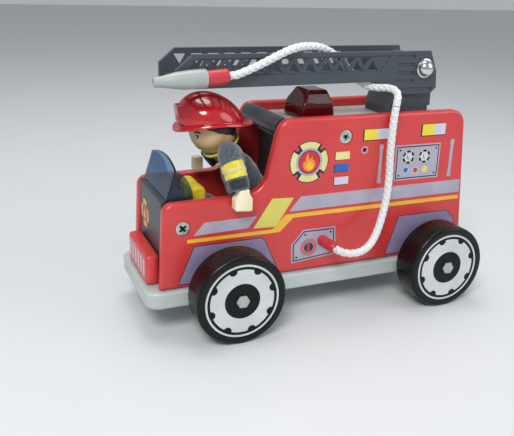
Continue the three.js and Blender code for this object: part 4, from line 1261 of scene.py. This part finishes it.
def feltTube(knots, radii, first=0.0, last=1.0, extra=0.0, hollow=0.0, flatten=0.92):
    # A soft tube along the knots between two shares of its length. Shallow creases, a sum of two
    # slanting sines, run across it. A hollow end turns over a rounded lip and runs back inside.
    path, walked = smoothPath(knots, 0.35)
    share = walked / walked[-1]
    keep = (share >= first) & (share <= last)
    path, walked, share = path[keep], walked[keep], share[keep]
    radius = np.interp(share, np.linspace(0, 1, len(radii)), radii) + extra
    columns = 56
    angle = np.linspace(0, 2 * math.pi, columns + 1)[None]
    far = walked[:, None]
    crease = 0.22 * np.sin(1.3 * far + 2.0 * np.cos(angle)) * np.sin(angle + 0.23 * far)
    grid = radius[:, None] + crease
    ends = np.array([[0.0], [0.62], [0.9]])
    if hollow > 0:
        lip = np.array([[-0.2], [-0.75], [-1.1], [-1.1]])
        inside = path[-1:] + (path[-2:-1] - path[-1:]) / 0.35 * np.array([[-0.35], [-0.35], [0.6], [hollow]])
        path = np.vstack([np.repeat(path[:1], 3, axis=0), path, inside, inside[-1:]])
        grid = np.vstack([grid[:1] * ends, grid, grid[-1:] + lip, 0 * grid[-1:]])
    else:
        path = np.vstack([np.repeat(path[:1], 3, axis=0), path, np.repeat(path[-1:], 3, axis=0)])
        grid = np.vstack([grid[:1] * ends, grid, grid[-1:] * ends[::-1]])
    return ringsAlong(path, grid, *fixedFrame(knots, path), flatten)


def fixedFrame(knots, path):
    # the frame carried along the whole limb, looked up at the nearest point of its path
    whole, _ = smoothPath(knots, 0.35)
    across, other = carriedFrame(whole)
    nearest = np.argmin(np.sum((path[:, None] - whole[None]) ** 2, axis=-1), axis=1)
    return across[nearest], other[nearest]


def makeArms():
    for side, route in limbs.items():
        body = "figure_" + side + "_arm"
        points, faces = feltTube(route, sleeveRadius, 0, 1, 0, 5.0)
        sleeve = makePiece(side + "FeltSleeve", points, faces, finishes["charcoalFelt"], body,
                           [f"figure_{side}_sleeve"], 60)
        for label, first, last, extra, material in sleeveBands:
            points, faces = feltTube(route, sleeveRadius, first, last, extra)
            makePiece(side + "Sleeve" + label, points, faces, material, body, (), 60)
        low, high = boxOf(f"figure_{side}_hand")
        x, y, z = (low + high) / 2
        halfX, depth, halfZ = (high - low) / 2
        if side == "left":
            outline = (x, z) + np.array(handShape) * (halfX, halfZ)
        else:
            outline = rectangle(x - halfX, x + halfX, z - halfZ, z + halfZ)
        points, faces = slab(roundCorners(outline, 1.2, 4), y - depth, y + depth, 0.9, 3)
        weightNormals(makePiece(side + "MapleHand", standUp(points), faces, finishes["creamWood"], body,
                                [f"figure_{side}_hand"]))


trunkSettings = {
    "hip": (31.0, 3, 62.8),
    "chest": (50.0, 3, 101),
    "height": (-4, -4, -3, 0, 8, 18, 28, 35, 40, 43.5, 45),      # rings of the jacket, from the hip up
    "depth": (0, 7.5, 9.8, 11.6, 12.4, 12.3, 11.8, 10.6, 8.4, 5.0, 0),
    "width": (0, 9.4, 12.4, 14.4, 15.0, 15.0, 14.6, 13.6, 11.2, 7.0, 0),
    "legRadius": [5.4, 5.8, 5.7, 5.2],
    "legApart": 7.4,
}


def makeTrunk():
    # Jacket: rings along the leaning back, wider than deep, with sloping shoulders and soft creases.
    hip, chest = (np.array(trunkSettings[key], float) for key in ("hip", "chest"))
    along = (chest - hip) / np.linalg.norm(chest - hip)
    forward = np.cross((0, 1, 0), along)
    t = np.linspace(0, 10, 90)
    height, depth, width = (np.interp(t, np.arange(11), trunkSettings[key])
                            for key in ("height", "depth", "width"))
    kernel = np.ones(7) / 7
    inner = slice(8, -8)
    for values in (height, depth, width):
        values[inner] = np.convolve(values, kernel, "same")[inner]
    angle = np.linspace(0, 2 * math.pi, 81)[None]
    up = height[:, None]
    fold = 1 + 0.02 * np.sin(0.7 * up + 2.2 * np.sin(angle)) * np.sin(2 * angle + 0.1 * up)
    points = (hip + height[:, None, None] * along
              + (depth[:, None] * np.cos(angle) * fold)[..., None] * forward
              + (width[:, None] * np.sin(angle) * fold)[..., None] * np.array([0, 1.0, 0]))
    jacket = makePiece("feltJacket", points, gridFaces(90, 81), finishes["charcoalFelt"], "root",
                       ["figure_torso"], 60)
    head = np.array(figureSettings["head"])
    angle = np.linspace(0, 2 * math.pi, 25)
    middle, reach = 0.67, figureSettings["headRadius"] + 1.6
    tall, thick = 3.2 * np.cos(angle), 0.95 * np.sin(angle)
    sine, cosine = math.sin(middle), math.cos(middle)
    profile = np.stack([reach * sine + tall * cosine + thick * sine,
                        reach * cosine - tall * sine + thick * cosine], axis=1)
    points, faces = turned(profile, head, (51, 3, 99), 80)
    collar = makePiece("feltCollar", points, faces, finishes["yellowFelt"], "root",
                       ["figure_collar"], 60)
    for side, sign in sides:
        y = 3 + trunkSettings["legApart"] * sign
        knots = [(50.4, y, 59.5), (54.6, y, 62.6), (59.5, y, 66.4), (66.2, y, 70.8)]
        points, faces = feltTube(knots, trunkSettings["legRadius"])
        leg = makePiece(side + "FeltLeg", points, faces, finishes["charcoalFelt"], "root",
                        [f"figure_{side}_leg"], 60)
        low, high = boxOf(f"figure_{side}_boot")
        outline = roundCorners(rectangle(low[0], high[0], low[2], high[2]), (1.5, 1.5, 3.4, 5.4), 8)
        points, faces = slab(outline, low[1], high[1], 2.2, 5)
        weightNormals(makePiece(side + "PaintedBoot", standUp(points), faces, finishes["yellowPaint"], "root",
                                [f"figure_{side}_boot"]))


makeHead()
makeHelmet()
makeArms()
makeTrunk()
print("figure made")


# Floor and light
stageSettings = {"floor": "#D5D7D8", "floorHalf": 4.0, "sky": "#E9EDF2", "skyStrength": 0.5}


def floorMaterial():
    # Matt studio card: nearly white, with the faint mottle of pressed paper.
    material, tree, place = startMaterial("mattStudioCard")
    mottle = addNode(tree, "TexNoise", {"Vector": place, "Scale": scaleFor(60), "Detail": 4.0})
    deep = tuple(0.96 * part for part in toLinear(stageSettings["floor"])[:3]) + (1.0,)
    colour = addNode(tree, "Mix",
                     {0: mottle, 6: deep, 7: toLinear(stageSettings["floor"])}, data_type="RGBA")
    finishMaterial(tree, {"Base Color": colour.outputs[2], "Roughness": 0.7})
    return material


def addLight(name, place, aim, size, power, colour):
    data = bpy.data.lights.new(name, "AREA")
    data.shape = "DISK"
    data.size = size
    data.energy = power
    data.color = toLinear(colour)[:3]
    lamp = addObject(name, data)
    lamp.location = place
    lamp.rotation_euler = (Vector(aim) - Vector(place)).to_track_quat("-Z", "Y").to_euler()


def makeStage():
    mesh = bpy.data.meshes.new("studioFloor")
    half = stageSettings["floorHalf"]
    corners = [(x, y, 0) for x, y in rectangle(-half, half, -half, half)]
    mesh.from_pydata(corners, [], [(0, 1, 2, 3)])
    mesh.materials.append(floorMaterial())
    floor = addObject("studioFloor", mesh)
    world = bpy.data.worlds.new("softStudio")
    world.use_nodes = True
    background = world.node_tree.nodes["Background"]
    background.inputs["Color"].default_value = toLinear(stageSettings["sky"])
    background.inputs["Strength"].default_value = stageSettings["skyStrength"]
    scene.world = world
    addLight("keySoftbox", (0.55, 0.75, 0.95), (0, 0, 0.06), 0.5, 10.5, "#FFFFFF")
    addLight("fillSoftbox", (-0.8, 0.6, 0.6), (0, 0, 0.08), 0.8, 3.6, "#EEF3FF")
    addLight("topSoftbox", (0.0, -0.25, 1.1), (0, 0, 0.1), 0.6, 4.2, "#FFFFFF")
    scene.view_settings.view_transform = "Standard"


makeStage()
print("stage made")
